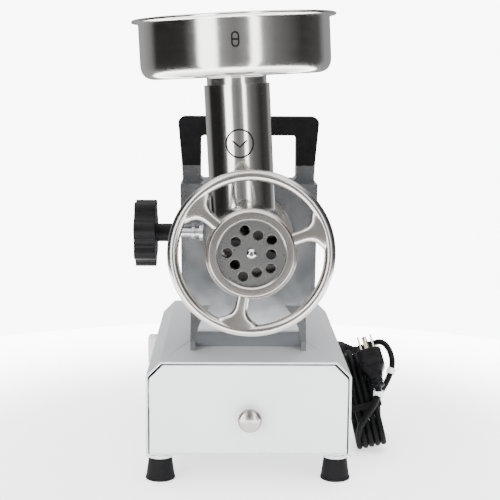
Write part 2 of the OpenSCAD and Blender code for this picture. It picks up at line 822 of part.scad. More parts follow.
module grinding_plate() {
  color("#8d8b88") leaned() difference() {
    rod_y(plate_d, plate_y0, plate_y1);
    rod_y(front_pin_d + 2 * run_fit, plate_y0 - 1, plate_y1 + 1);
    for (i = [0:4]) {
      rotate([0, -(31.3 + 72 * i), 0]) rod_y(plate_hole_d, plate_y0 - 1, plate_y1 + 1, 19.7, 0);
      rotate([0, 4.7 - 72 * i, 0]) rod_y(plate_hole_d, plate_y0 - 1, plate_y1 + 1, 15.9, 0);
    }
    rotate([0, -key_a, 0]) rod_y(3.6, plate_y0 - 1, plate_y1 + 1, plate_d / 2, 0);
  }
}
module spoke() {
  y0 = (wheel_d - rim_d) / 2 - rim_d / 2;
  f = 12;
  x = sqrt(pow(y0 - f, 2) - pow(5 + f, 2));
  g = (y0 + 3) / (y0 - f);
  difference() {
    polygon([
      [hub_d / 2 - 4, 5], [x, 5], [x, 5 + f], [x * g, (5 + f) * g], [y0 + 3.5, 0],
      [x * g, -(5 + f) * g], [x, -5 - f], [x, -5], [hub_d / 2 - 4, -5]
    ]);
    translate([x, 5 + f]) circle(r = f);
    translate([x, -5 - f]) circle(r = f);
  }
}
module ring_wheel() {
  color("#c2bcb4") leaned() difference() {
    union() {
      rod_y(hub_d, front_y + 2.5, hub_y1);
      translate([0, front_y + 2.5, 0]) rotate([90, 0, 0]) cylinder(d1 = hub_d, d2 = hub_d - 6, h = 2.5);
      translate([0, front_y + rim_d / 2, 0]) rotate([90, 0, 0]) rotate_extrude()
        translate([(wheel_d - rim_d) / 2, 0]) circle(d = rim_d, $fn = 48);
      for (i = [0:2]) rotate([0, -(16.5 + 120 * i), 0]) along_y(front_y + 1.2, front_y + 8.2) spoke();
    }
    rod_y(thread_d + 2 * run_fit, plate_y0, hub_y1 + 1);
    rod_y(opening_d, front_y - 1, plate_y0 + 1);
  }
}
module meat_pan() {
  color("#bdbab5") leaned() translate([tube_x, tube_y, pan_z]) {
    rotate_extrude() {
      translate([neck_out - 1.5, 0]) square([pan_radius - pan_corner - neck_out + 1.6, pan_sheet]);
      translate([pan_radius - pan_corner, pan_corner]) intersection() {
        difference() {
          circle(r = pan_corner);
          circle(r = pan_corner - pan_sheet);
        }
        translate([0, -pan_corner - 1]) square([pan_corner + 1, pan_corner + 1]);
      }
      translate([pan_radius - pan_sheet, pan_corner - 0.1])
        square([pan_sheet, pan_height - lip_r - pan_sheet - pan_corner + 0.2]);
      translate([pan_radius + lip_r, pan_height - lip_r - pan_sheet]) intersection() {
        difference() {
          circle(r = lip_r + pan_sheet);
          circle(r = lip_r);
        }
        translate([-lip_r - 2, 0]) square([lip_r + 2, lip_r + 2]);
      }
      translate([pan_radius + lip_r + 0.2, pan_height - pan_sheet - 0.2]) circle(r = 1.4, $fn = 32);
      translate([neck_out - 1.5, seat_z - pan_z]) square([1.5, pan_z - seat_z + 0.6]);
    }
  }
}

function unit(v) = v / norm(v);
function heading(p, i) = unit(p[min(i + 1, len(p) - 1)] - p[max(i - 1, 0)]);
// round tube along the points p; side is a direction no stretch of the route follows
module tube(p, d, side, n = 10) {
  last = len(p) - 1;
  rings = [for (i = [0:last]) let (t = heading(p, i), u = unit(cross(t, side)), v = cross(t, u))
    for (k = [0:n - 1]) p[i] + d / 2 * (u * cos(k * 360 / n) + v * sin(k * 360 / n))];
  skin = [for (i = [0:last - 1], k = [0:n - 1])
    [i * n + k, (i + 1) * n + k, (i + 1) * n + (k + 1) % n, i * n + (k + 1) % n]];
  ends = [[for (k = [0:n - 1]) k], [for (k = [n - 1:-1:0]) last * n + k]];
  polyhedron(points = rings, faces = concat(skin, ends));
}
module cord_lead() {
  color("#141415") translate([half_w, 0, 0]) tube(lead_route, cord_d, [0, 0.8, -0.6]);
}
module cord_tail() {
  color("#141415") translate([half_w, 0, 0]) tube(tail_route, cord_d, [1, 0, -0.3]);
}
// the hank's own frame: its lowest edge on the table, its top against the cabinet wall
module hank_at() {
  translate([half_w + hank_x, hank_mid_y, 0]) rotate([0, -hank_tilt, 0]) translate([0, 0, 3.4])
    children();
}
module cord_hank() {
  r = hank_wide / 2;
  color("#141415") hank_at() along_x(-hank_thick / 2, hank_thick / 2) union() {
    translate([0, r]) circle(r = r);
    translate([0, hank_len - r]) circle(r = r);
    translate([-r, r]) square([2 * r, hank_len - 2 * r]);
  }
}
module hank_strap() {
  w = hank_thick / 2;
  d = hank_wide / 2;
  color("#0f0f10") hank_at() difference() {
    box(-w - 1.6, w + 1.6, -d - 1.6, d + 1.6, 44, 50);
    box(-w - 0.1, w + 0.1, -d - 0.1, d + 0.1, 43, 51);
  }
}
module cord_tie() {
  color("#eeeeec") difference() {
    translate([half_w + plug_x, plug_y, 58.8]) cylinder(d = cord_d + 3.8, h = 5);
    translate([half_w + plug_x, plug_y, 50]) cylinder(d = cord_d + 2.2, h = 30);
  }
}
module plug_at() {
  translate([half_w + plug_x, plug_y, plug_z]) rotate([0, -16, 0]) rotate([-38, 0, 0]) children();
}
module plug_blade_set() {
  for (x = [-7.1, 5.6]) translate([x, -3.2, 26]) cube([1.6, 6.4, 27]);
  translate([0, 6.6, 26]) cylinder(d = 4.8, h = 29);
}
module plug_body() {
  color("#161617") difference() {
    plug_at() {
      translate([0, 0, -3]) cylinder(d = 11, h = 14);
      translate([-8.5, -7.5, 9]) cube([17, 15, 10]);
      translate([-12, -10, 17]) cube([24, 21, 19]);
    }
    plug_at() plug_blade_set();
    translate([half_w + plug_x, plug_y, plug_z - 15]) cylinder(d = cord_d + 0.1, h = 16);
  }
}
module plug_blades() {
  color("#c9b67a") plug_at() plug_blade_set();
}

placed() cabinet_shell();
placed() cabinet_floor();
placed() cabinet_bulkhead();
placed() feet();
placed() foot_spacers();
placed() foot_screws();
placed() drawer_runners();
placed() drawer_tray();
placed() drawer_front();
placed() drawer_knob();
placed() gear_housing();
placed() gear_cover();
placed() bearing_bridge();
placed() bearings();
placed() housing_screws();
placed() pedestal_bolts();
placed() index_pin();
placed() lock_bush();
placed() lock_stud();
placed() lock_knob();
placed() carry_handle();
placed() handle_screws();
placed() output_shaft();
placed() output_gear();
placed() idler_shaft();
placed() idler_gear();
placed() idler_pinion();
placed() motor_tube();
placed() stator_core();
placed() windings();
placed() motor_cap();
placed() motor_cradle();
placed() rotor_core();
placed() motor_shaft();
placed() motor_pinion();
placed() cooling_fan();
placed() capacitor();
placed() capacitor_clamp();
placed() terminal_block();
placed() switch_frame();
placed() switch_rocker();
placed() cable_gland();
placed() seal_ring();
placed() head_body();
placed() head_bush();
placed() worm();
placed() worm_shank();
placed() front_pin();
placed() thrust_washer();
placed() cross_knife();
placed() grinding_plate();
placed() ring_wheel();
placed() meat_pan();
placed() cord_lead();
placed() cord_hank();
placed() cord_tail();
placed() cord_tie();
placed() hank_strap();
placed() plug_body();
placed() plug_blades();
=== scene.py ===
"""Electric meat grinder: rounded and turned pieces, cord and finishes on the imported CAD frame."""

import json
import math

import bmesh
import bpy
import numpy as np
from bpy.props import FloatProperty, FloatVectorProperty, IntProperty, PointerProperty
from mathutils import Matrix, Vector


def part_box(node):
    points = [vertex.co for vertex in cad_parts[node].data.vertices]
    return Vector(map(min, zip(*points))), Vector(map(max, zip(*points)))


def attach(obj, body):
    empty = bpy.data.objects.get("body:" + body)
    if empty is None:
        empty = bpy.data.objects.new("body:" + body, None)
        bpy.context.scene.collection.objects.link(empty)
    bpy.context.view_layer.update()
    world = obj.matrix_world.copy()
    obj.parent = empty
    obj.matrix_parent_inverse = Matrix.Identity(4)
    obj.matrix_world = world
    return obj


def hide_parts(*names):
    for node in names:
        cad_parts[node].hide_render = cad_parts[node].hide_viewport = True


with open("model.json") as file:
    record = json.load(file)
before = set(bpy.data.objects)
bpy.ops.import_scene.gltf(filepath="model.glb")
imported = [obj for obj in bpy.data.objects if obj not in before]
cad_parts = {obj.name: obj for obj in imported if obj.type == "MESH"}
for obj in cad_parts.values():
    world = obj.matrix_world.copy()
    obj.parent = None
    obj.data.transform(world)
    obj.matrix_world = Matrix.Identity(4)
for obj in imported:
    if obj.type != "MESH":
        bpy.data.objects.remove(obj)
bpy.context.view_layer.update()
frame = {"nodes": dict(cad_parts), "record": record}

bl_info = {
    "name": "Meat grinder parts",
    "version": (1, 0, 0),
    "blender": (4, 5, 0),
    "location": "3D View > Sidebar > Grinder",
    "description": "Builds the visible pieces and finishes of a counter-top meat grinder",
    "category": "Object",
}

# The drawing's own millimetres: x from the cabinet's middle, y from its front, z from the table.
X_MID, Y_MID = 4.375, 97.7
WALL = 91.75
AXIS_Z = 225.0
LEAN = math.radians(3)
TUBE_X, TUBE_Y = -5.0, -8.0
FRONT_Y = -88.0
PAN_Z = 141.5
IDLER_Z, MOTOR_Z = 181.5, 219.0
HANK = {"x": 34.5, "y": 140.0, "tilt": 12.0, "radius": 18.0, "low": 21.0, "high": 69.0,
        "lean": 32.0}
PLUG = (36.0, 95.0, 70.0)
CAMERA_AT = (-0.021835, -1.1332, 0.3695)
CAMERA_PAN, CAMERA_DOWN, CAMERA_ROLL = (math.radians(a) for a in (-0.98, 8.45, 0.39))
PLUG_TURN = Matrix.Rotation(math.radians(-16), 3, "Y") @ Matrix.Rotation(math.radians(-38), 3, "X")
LEAD_ROUTE = [
    (20, 200, 79), (26, 200, 79), (32, 199, 81), (38, 197, 85), (44, 193, 89), (50, 187, 91),
    (55, 180, 88), (58, 173, 82), (59, 167, 74), (57, 163, 65), (53, 160, 56), (48, 159, 47),
    (44, 158, 39),
]
TAIL_ROUTE = [
    (18, 92, 24), (19, 89, 30), (22, 87, 36), (26, 87, 43), (30, 88, 49),
    (33, 90, 54), (35, 93, 59), (36, 95, 64), (36, 95, 71),
]


# ---------------------------------------------------------------- places

def spot(x, y, z):
    """A point of the drawing, in metres in the shared frame."""
    return Vector(((x - X_MID) / 1000, (y - Y_MID) / 1000, z / 1000))


def on_barrel(x, y, z):
    """A point given from the barrel's leaning axis, in the drawing's millimetres."""
    c, s = math.cos(LEAN), math.sin(LEAN)
    return x * c - z * s, y, AXIS_Z + x * s + z * c


def round_barrel(r, a, h):
    return spot(*on_barrel(r * math.cos(a), h, r * math.sin(a)))


def round_tube(r, a, h):
    return spot(*on_barrel(TUBE_X + r * math.cos(a), TUBE_Y + r * math.sin(a), h))


def round_pan(r, a, h):
    return round_tube(r, a, PAN_Z + h)


def in_hank(x, y, z):
    """Hank's own place to (distance from the cabinet wall, y, z)."""
    t = math.radians(HANK["tilt"])
    forward = HANK["lean"] * (1 - z / (HANK["high"] + HANK["radius"]))
    z += 3.4
    return (HANK["x"] + x * math.cos(t) - z * math.sin(t), HANK["y"] + y - forward,
            x * math.sin(t) + z * math.cos(t))


def in_plug(x, y, z):
    """Plug's own place to the shared frame."""
    p = PLUG_TURN @ Vector((x, y, z))
    return spot(WALL + PLUG[0] + p.x, PLUG[1] + p.y, PLUG[2] + p.z)


# ---------------------------------------------------------------- mesh making

def placed(name, data):
    """A new object in the scene."""
    thing = bpy.data.objects.new(name, data)
    bpy.context.scene.collection.objects.link(thing)
    return thing


def made_real(host):
    """A mesh of the object as its modifiers show it."""
    return bpy.data.meshes.new_from_object(
        host.evaluated_get(bpy.context.evaluated_depsgraph_get()))


def new_piece(name, verts, faces):
    mesh = bpy.data.meshes.new(name)
    mesh.from_pydata([tuple(v) for v in verts], [], faces)
    mesh.validate()
    mesh.polygons.foreach_set("use_smooth", [True] * len(mesh.polygons))
    return placed(name, mesh)


def point_out(piece):
    bm = bmesh.new()
    bm.from_mesh(piece.data)
    bmesh.ops.remove_doubles(bm, verts=bm.verts, dist=1e-6)
    bmesh.ops.recalc_face_normals(bm, faces=bm.faces)
    bm.to_mesh(piece.data)
    bm.free()
    return piece


def by_angle(piece, degrees=30):
    mesh = piece.data
    mesh.polygons.foreach_set("use_smooth", [True] * len(mesh.polygons))
    mesh.set_sharp_from_angle(angle=math.radians(degrees))
    return piece


def softened(outline, steps=4):
    """Outline with its corners rounded; a point is (r, h) or (r, h, corner radius)."""
    made, n = [], len(outline)
    for i, point in enumerate(outline):
        here = Vector(point[:2])
        radius = point[2] if len(point) > 2 else 0
        if not radius:
            made.append(tuple(here))
            continue
        before = Vector(outline[i - 1][:2]) - here
        after = Vector(outline[(i + 1) % n][:2]) - here
        half = before.angle(after) / 2
        reach = min(radius / math.tan(half), before.length * 0.49, after.length * 0.49)
        a, b = here + before.normalized() * reach, here + after.normalized() * reach
        for k in range(steps + 1):
            t = k / steps
            made.append(tuple(a * (1 - t) ** 2 + here * 2 * t * (1 - t) + b * t * t))
    return made


def arc(x, y, radius, degrees):
    """Points of a circle about (x, y) at the given angles."""
    return [(x + radius * math.cos(math.radians(a)), y + radius * math.sin(math.radians(a)))
            for a in degrees]


def turned(name, outline, place, around=128):
    """A closed outline of (r, h) turned about an axis."""
    rows = len(outline)
    verts = [place(r, 2 * math.pi * k / around, h) for k in range(around) for r, h in outline]
    faces = [
        (k * rows + i, k * rows + (i + 1) % rows,
         (k + 1) % around * rows + (i + 1) % rows, (k + 1) % around * rows + i)
        for k in range(around) for i in range(rows)
    ]
    return point_out(new_piece(name, verts, faces))


def squarish(a, width, depth, square):
    """A point round an outline between an ellipse (2) and a rectangle (large)."""
    c, s = math.cos(a), math.sin(a)
    return (width * math.copysign(abs(c) ** (2 / square), c),
            depth * math.copysign(abs(s) ** (2 / square), s))


def lofted(name, sections, place, around=48):
    """Sections (h, half width, half depth, squareness) joined along h, ends closed."""
    verts = [place(*squarish(2 * math.pi * k / around, w, d, square), h)
             for h, w, d, square in sections for k in range(around)]
    last = len(sections) - 1
    faces = [(i * around + k, i * around + (k + 1) % around,
              (i + 1) * around + (k + 1) % around, (i + 1) * around + k)
             for i in range(last) for k in range(around)]
    for row in (0, last):
        verts.append(place(0, 0, sections[row][0]))
        faces += [(row * around + k, row * around + (k + 1) % around, len(verts) - 1)
                  for k in range(around)]
    return point_out(new_piece(name, verts, faces))


def settled(piece):
    """The piece with its modifiers made real and taken off."""
    mesh = made_real(piece)
    piece.modifiers.clear()
    piece.data = mesh
    mesh.name = piece.name
    return piece


def from_node(node, name, bevel=0.5, steps=2, angle=28, flat=0.6):
    """A piece with the CAD node's own shape and rounded edges, sizes in millimetres."""
    bm = bmesh.new()
    bm.from_mesh(frame["nodes"][node].data)
    bmesh.ops.remove_doubles(bm, verts=bm.verts, dist=2e-6)
    if flat:
        bmesh.ops.dissolve_limit(bm, angle_limit=math.radians(flat), verts=bm.verts,
                                 edges=bm.edges)
    mesh = bpy.data.meshes.new(name)
    bm.to_mesh(mesh)
    bm.free()
    mesh.materials.clear()
    mesh.polygons.foreach_set("use_smooth", [True] * len(mesh.polygons))
    piece = placed(name, mesh)
    edge = piece.modifiers.new("Edges", "BEVEL")
    edge.width = bevel / 1000
    edge.segments = steps
    edge.limit_method = "ANGLE"
    edge.angle_limit = math.radians(angle)
    edge.use_clamp_overlap = True
    edge.miter_outer = "MITER_ARC"
    normals = piece.modifiers.new("Shading", "WEIGHTED_NORMAL")
    normals.keep_sharp = True
    normals.weight = 80
    return settled(piece)


def true_rounds(piece, rounds):
    """Exact shading on cylinders; rounds are (point, axis, radius), in metres."""
    mesh = piece.data
    verts = np.array([v.co for v in mesh.vertices])
    on_surface, facing, normals = 4e-5, 0.9, []
    for poly in mesh.polygons:
        flat = np.array(poly.normal)
        for index in poly.vertices:
            chosen = None
            for point, axis, radius in rounds:
                out = verts[index] - point
                out = out - axis * (out @ axis)
                size = np.linalg.norm(out)
                if abs(size - radius) < on_surface:
                    out = out / size
                    if out @ flat < 0:
                        out = -out
                    if out @ flat > facing:
                        chosen = out
                        break
            normals.append(tuple(chosen if chosen is not None else flat))
    mesh.normals_split_custom_set(normals)
    return piece


def joined(name, pieces):
    bm = bmesh.new()
    for piece in pieces:
        bm.from_mesh(piece.data)
        bpy.data.objects.remove(piece)
    mesh = bpy.data.meshes.new(name)
    bm.to_mesh(mesh)
    bm.free()
    return placed(name, mesh)


def smooth_path(points, step):
    """Evenly spaced points on a smooth curve through the given ones."""
    pts = [Vector(p) for p in points]
    pts = [pts[0] * 2 - pts[1]] + pts + [pts[-1] * 2 - pts[-2]]
    dense = []
    for i in range(1, len(pts) - 2):
        a, b, c, d = pts[i - 1:i + 3]
        for k in range(12):
            t = k / 12
            dense.append(0.5 * (2 * b + (c - a) * t + (2 * a - 5 * b + 4 * c - d) * t * t
                                + (3 * b - a - 3 * c + d) * t ** 3))
    dense.append(pts[-2])
    length = sum((b - a).length for a, b in zip(dense, dense[1:]))
    count = max(2, round(length / step))
    even, walked, target, i = [dense[0]], 0.0, length / count, 0
    for a, b in zip(dense, dense[1:]):
        run = (b - a).length
        while walked + run >= target - 1e-9 and len(even) < count:
            even.append(a.lerp(b, (target - walked) / run))
            target += length / count
        walked += run
    even.append(dense[-1])
    return even, length


def strips_on(name, strips, wrap, width):
    """Flat lines of a given width laid on a surface, a hair above it."""
    verts, faces = [], []
    for line in strips:
        closed = (Vector(line[0]) - Vector(line[-1])).length < 1e-6
        start = len(verts)
        befores = [line[-2] if closed else line[0]] + line[:-1]
        afters = line[1:] + [line[1] if closed else line[-1]]
        for before, here, after in zip(befores, line, afters):
            run = (Vector(after) - Vector(before)).normalized()
            side = Vector((-run.y, run.x)) * width / 2
            for sign in (1, -1):
                p = Vector(here) + side * sign
                verts.append(wrap(p.x, p.y, 0.2))
                verts.append(wrap(p.x, p.y, 0.0))
        for i in range(len(line) - 1):
            a, b = start + 4 * i, start + 4 * (i + 1)
            for p, q in ((0, 2), (2, 3), (3, 1), (1, 0)):
                faces.append((a + p, a + q, b + q, b + p))
        if not closed:
            end = start + 4 * (len(line) - 1)
            faces += [(start, start + 1, start + 3, start + 2), (end, end + 2, end + 3, end + 1)]
    return by_angle(point_out(new_piece(name, verts, faces)), 30)


# ---------------------------------------------------------------- nodes

def add_node(tree, kind, inputs=None, **settings):
    """A node with its settings and the constants of its sockets."""
    node = tree.nodes.new(kind)
    for key, value in settings.items():
        setattr(node, key, value)
    for socket, value in (inputs or {}).items():
        node.inputs[socket].default_value = value
    return node


def wire(tree, *links):
    """Links given as (node, output, node, input)."""
    for source, output, target, socket in links:
        tree.links.new(source.outputs[output], target.inputs[socket])


# ---------------------------------------------------------------- repeating with Geometry Nodes

def tree_with(name, inputs):
    tree = bpy.data.node_groups.new(name, "GeometryNodeTree")
    for label, kind, default in inputs:
        socket = tree.interface.new_socket(label, in_out="INPUT", socket_type="NodeSocket" + kind)
        if default is not None:
            socket.default_value = default
    tree.interface.new_socket("Geometry", in_out="OUTPUT", socket_type="NodeSocketGeometry")
    return tree, tree.nodes.new("NodeGroupInput")


def end_tree(tree, given, copies):
    real = add_node(tree, "GeometryNodeRealizeInstances")
    paint = add_node(tree, "GeometryNodeSetMaterial")
    wire(tree, (copies, "Instances", real, "Geometry"), (real, "Geometry", paint, "Geometry"),
         (given, "Finish", paint, "Material"),
         (paint, "Geometry", tree.nodes.new("NodeGroupOutput"), "Geometry"))
    return tree


def corner_copies_tree():
    """One piece set at the four corners of a rectangle."""
    tree, given = tree_with("Copies at four corners", [
        ("Piece", "Object", None), ("Width", "Float", 0.16), ("Depth", "Float", 0.24),
        ("Upright angle", "Float", 0.0), ("Centre", "Vector", (0, 0, 0)),
        ("Finish", "Material", None)])
    info = add_node(tree, "GeometryNodeObjectInfo")
    grid = add_node(tree, "GeometryNodeMeshGrid", {"Vertices X": 2, "Vertices Y": 2})
    tip = add_node(tree, "ShaderNodeCombineXYZ")
    move = add_node(tree, "GeometryNodeTransform")
    copies = add_node(tree, "GeometryNodeInstanceOnPoints")
    wire(tree, (given, "Upright angle", tip, "X"), (tip, "Vector", move, "Rotation"),
         (given, "Piece", info, "Object"), (given, "Width", grid, "Size X"),
         (given, "Depth", grid, "Size Y"), (grid, "Mesh", move, "Geometry"),
         (given, "Centre", move, "Translation"), (move, "Geometry", copies, "Points"),
         (info, "Geometry", copies, "Instance"))
    return end_tree(tree, given, copies)


def wheel_copies_tree():
    """One piece repeated at even angles about the Y axis through the origin."""
    tree, given = tree_with("Copies about an axis", [
        ("Piece", "Object", None), ("Count", "Int", 3), ("Start angle", "Float", 0.0),
        ("Finish", "Material", None)])
    info = add_node(tree, "GeometryNodeObjectInfo")
    line = add_node(tree, "GeometryNodeMeshLine", {"Offset": (0, 0, 0)})
    copies = add_node(tree, "GeometryNodeInstanceOnPoints")
    index = add_node(tree, "GeometryNodeInputIndex")
    share = add_node(tree, "ShaderNodeMath", operation="DIVIDE")
    angle = add_node(tree, "ShaderNodeMath", {1: -2 * math.pi}, operation="MULTIPLY_ADD")
    turn = add_node(tree, "ShaderNodeCombineXYZ")
    wire(tree, (given, "Piece", info, "Object"), (given, "Count", line, "Count"),
         (index, "Index", share, 0), (given, "Count", share, 1), (share, 0, angle, 0),
         (given, "Start angle", angle, 2), (angle, 0, turn, "Y"),
         (line, "Mesh", copies, "Points"), (info, "Geometry", copies, "Instance"),
         (turn, "Vector", copies, "Rotation"))
    return end_tree(tree, given, copies)


def path_rings_tree():
    """Rings threaded on a path, smaller towards its far end."""
    tree, given = tree_with("Rings along a path", [
        ("Geometry", "Geometry", None), ("Count", "Int", 9), ("First radius", "Float", 0.005),
        ("Last radius", "Float", 0.0037), ("Ring thickness", "Float", 0.0007),
        ("Finish", "Material", None)])
    points = add_node(tree, "GeometryNodeCurveToPoints", mode="COUNT")
    ring = add_node(tree, "GeometryNodeCurvePrimitiveCircle", {"Resolution": 28, "Radius": 1.0})
    wire_round = add_node(tree, "GeometryNodeCurvePrimitiveCircle", {"Resolution": 8})
    body = add_node(tree, "GeometryNodeCurveToMesh")
    thin = add_node(tree, "ShaderNodeMath", operation="DIVIDE")
    index = add_node(tree, "GeometryNodeInputIndex")
    along = add_node(tree, "ShaderNodeMapRange")
    copies = add_node(tree, "GeometryNodeInstanceOnPoints")
    wire(tree, (given, "Geometry", points, "Curve"), (given, "Count", points, "Count"),
         (given, "Ring thickness", thin, 0), (given, "First radius", thin, 1),
         (thin, 0, wire_round, "Radius"), (ring, "Curve", body, "Curve"),
         (wire_round, "Curve", body, "Profile Curve"), (index, "Index", along, "Value"),
         (given, "Count", along, "From Max"), (given, "First radius", along, "To Min"),
         (given, "Last radius", along, "To Max"), (points, "Points", copies, "Points"),
         (points, "Rotation", copies, "Rotation"), (body, "Mesh", copies, "Instance"),
         (along, "Result", copies, "Scale"))
    return end_tree(tree, given, copies)


def grown(name, tree, values, base=None):
    """The tree's result as a plain mesh piece; values are given by the input's name."""
    host = base or placed(name, bpy.data.meshes.new(name))
    growth = host.modifiers.new("Growth", "NODES")
    growth.node_group = tree
    for item in tree.interface.items_tree:
        if item.in_out == "INPUT" and item.name in values:
            growth[item.identifier] = values[item.name]
    mesh = made_real(host)
    bpy.data.objects.remove(host)
    if not mesh.polygons:
        raise RuntimeError(f"{name} came out empty")
    return placed(name, mesh)


# ---------------------------------------------------------------- finishes

class Finish:
    """A procedural material on the piece's own coordinates."""

    def __init__(self, name, colour, roughness, metallic=0.0, centre=(0, 0, 0)):
        self.material = bpy.data.materials.new(name)
        self.material.use_nodes = True
        self.tree = self.material.node_tree
        self.shader = self.tree.nodes["Principled BSDF"]
        self.colour, self.height = colour, None
        self.constants({"Base Color": (*colour, 1), "Metallic": metallic, "Roughness": roughness})
        coords = self.add("ShaderNodeTexCoord")
        self.mapping = self.add("ShaderNodeMapping", {"Location": centre}, vector_type="TEXTURE")
        wire(self.tree, (coords, "Object", self.mapping, "Vector"))

    def add(self, kind, inputs=None, **settings):
        return add_node(self.tree, kind, inputs, **settings)

    def constants(self, values):
        for socket, value in values.items():
            self.shader.inputs[socket].default_value = value

    def drive(self, source, node, socket, output, target):
        """A source into the node's socket, and the node's output into the shader."""
        self.tree.links.new(source, node.inputs[socket])
        wire(self.tree, (node, output, self.shader, target))
        return self

    def noise(self, scale, detail=3.0, stretch=None):
        node = self.add("ShaderNodeTexNoise",
                        {"Scale": scale, "Detail": detail, "Roughness": 0.55})
        source = self.mapping
        if stretch:
            source = self.add("ShaderNodeMapping", {"Scale": stretch})
            wire(self.tree, (self.mapping, "Vector", source, "Vector"))
        wire(self.tree, (source, "Vector", node, "Vector"))
        return node.outputs["Fac"]

    def bands(self, kind, direction, scale, distortion=0.0):
        node = self.add("ShaderNodeTexWave",
                        {"Scale": scale, "Distortion": distortion, "Detail": 2.0},
                        wave_type=kind, wave_profile="SIN")
        setattr(node, "rings_direction" if kind == "RINGS" else "bands_direction", direction)
        wire(self.tree, (self.mapping, "Vector", node, "Vector"))
        return node.outputs["Fac"]

    def cells(self, scale):
        node = self.add("ShaderNodeTexVoronoi", {"Scale": scale})
        wire(self.tree, (self.mapping, "Vector", node, "Vector"))
        return node.outputs["Color"]

    def vary_roughness(self, source, low, high):
        node = self.add("ShaderNodeMapRange", {
            "From Min": 0.3, "From Max": 0.7, "To Min": low, "To Max": high})
        return self.drive(source, node, "Value", "Result", "Roughness")

    def vary_colour(self, source, other, low=0.35, high=0.65):
        node = self.add("ShaderNodeValToRGB")
        first, last = node.color_ramp.elements
        first.position, last.position = low, high
        first.color, last.color = (*self.colour, 1), (*other, 1)
        return self.drive(source, node, "Fac", "Color", "Base Color")

    def bump(self, source, strength, distance):
        node = self.add("ShaderNodeBump", {"Strength": strength, "Distance": distance})
        if self.height:
            wire(self.tree, (self.height, "Normal", node, "Normal"))
        self.height = node
        return self.drive(source, node, "Height", "Normal", "Normal")


def shade(colour, factor):
    return tuple(min(1.0, c * factor) for c in colour)


def painted(name, colour, roughness, metallic):
    f = Finish(name, colour, roughness, metallic)
    fine = f.noise(1400, 2)
    f.vary_colour(f.noise(9, 3), shade(colour, 0.955))
    f.vary_roughness(fine, roughness - 0.05, roughness + 0.07)
    return f.bump(fine, 0.12, 0.00012).bump(f.noise(220, 2), 0.05, 0.0004).material


def polished(name, colour, roughness, centre, stretch):
    f = Finish(name, colour, roughness, 1.0, centre)
    grain = f.noise(260, 4, stretch=stretch)
    f.vary_roughness(grain, roughness, roughness + 0.03)
    f.vary_colour(f.noise(22, 2), shade(colour, 0.96))
    return f.bump(grain, 0.012, 0.00003).material


def brushed(name, colour, roughness, amount):
    """Steel brushed round its upright axis."""
    f = Finish(name, colour, roughness, 1.0)
    grain = f.noise(300, 3, stretch=(0.15, 0.15, 1))
    f.vary_roughness(grain, roughness - 0.01, roughness + 0.03)
    f.vary_colour(f.noise(22, 2), shade(colour, 0.96))
    f.constants({"Anisotropic": amount, "Anisotropic Rotation": 0.25})
    round_axis = f.add("ShaderNodeTangent", direction_type="RADIAL", axis="Z")
    wire(f.tree, (round_axis, "Tangent", f.shader, "Tangent"))
    return f.bump(grain, 0.015, 0.00003).material


def satin(name, colour, roughness):
    f = Finish(name, colour, roughness, 1.0)
    fine = f.noise(1700, 3)
    f.vary_colour(f.noise(18, 2), shade(colour, 0.93))
    f.vary_roughness(f.noise(40, 3), roughness - 0.01, roughness + 0.02)
    return f.bump(fine, 0.06, 0.00004).material


def faced(name, colour, roughness, centre, pitch=260.0):
    """Steel with the fine rings of a lathe about the Y axis."""
    f = Finish(name, colour, roughness, 1.0, centre)
    rings = f.bands("RINGS", "Y", pitch, 1.2)
    f.vary_colour(f.noise(20, 2), shade(colour, 0.93))
    f.vary_roughness(f.noise(40, 3), roughness - 0.01, roughness + 0.02)
    return f.bump(rings, 0.04, 0.00001).bump(f.noise(1500, 2), 0.03, 0.00001).material


def casting(name, colour, roughness):
    f = Finish(name, colour, roughness, 1.0)
    skin = f.noise(60, 3)
    f.vary_colour(f.noise(12, 2), shade(colour, 0.93))
    f.vary_roughness(skin, roughness - 0.02, roughness + 0.04)
    return f.bump(skin, 0.02, 0.0002).bump(f.noise(1200, 2), 0.04, 0.00002).material


def zinc(name, colour, roughness):
    f = Finish(name, colour, roughness, 1.0)
    f.vary_colour(f.cells(150), shade(colour, 0.88), 0.2, 0.8)
    f.vary_roughness(f.noise(90, 3), roughness - 0.07, roughness + 0.10)
    return f.bump(f.noise(700, 3), 0.08, 0.0001).material


def moulded(name, colour, roughness, grain=2600.0, depth=0.10, shine=0.5):
    f = Finish(name, colour, roughness)
    f.constants({"Specular IOR Level": shine})
    fine = f.noise(grain, 2)
    f.vary_colour(f.noise(70, 4), shade(colour, 1.35))
    f.vary_roughness(f.noise(140, 4), roughness - 0.06, roughness + 0.08)
    return f.bump(fine, depth, 0.00016).material


def wound(name, colour):
    f = Finish(name, colour, 0.3, 0.9)
    turns = f.bands("BANDS", "DIAGONAL", 420, 0.6)
    f.constants({"Coat Weight": 0.5, "Coat Roughness": 0.15})
    f.vary_colour(turns, shade(colour, 0.45), 0.1, 0.7)
    return f.bump(turns, 0.5, 0.0004).material


def stacked(name, colour):
    f = Finish(name, colour, 0.5, 0.85)
    sheets = f.bands("BANDS", "Y", 320, 0.05)
    f.vary_colour(sheets, shade(colour, 0.45), 0.1, 0.6)
    return f.bump(sheets, 0.35, 0.0002).vary_roughness(f.noise(200, 3), 0.4, 0.65).material


def sheath(name, colour):
    f = Finish(name, colour, 0.46)
    f.constants({"Specular IOR Level": 0.09})
    f.vary_colour(f.noise(160, 4), shade(colour, 1.7))
    f.vary_roughness(f.noise(260, 3), 0.38, 0.58)
    return f.bump(f.noise(1900, 2), 0.12, 0.00012).material


FINISHES = {}


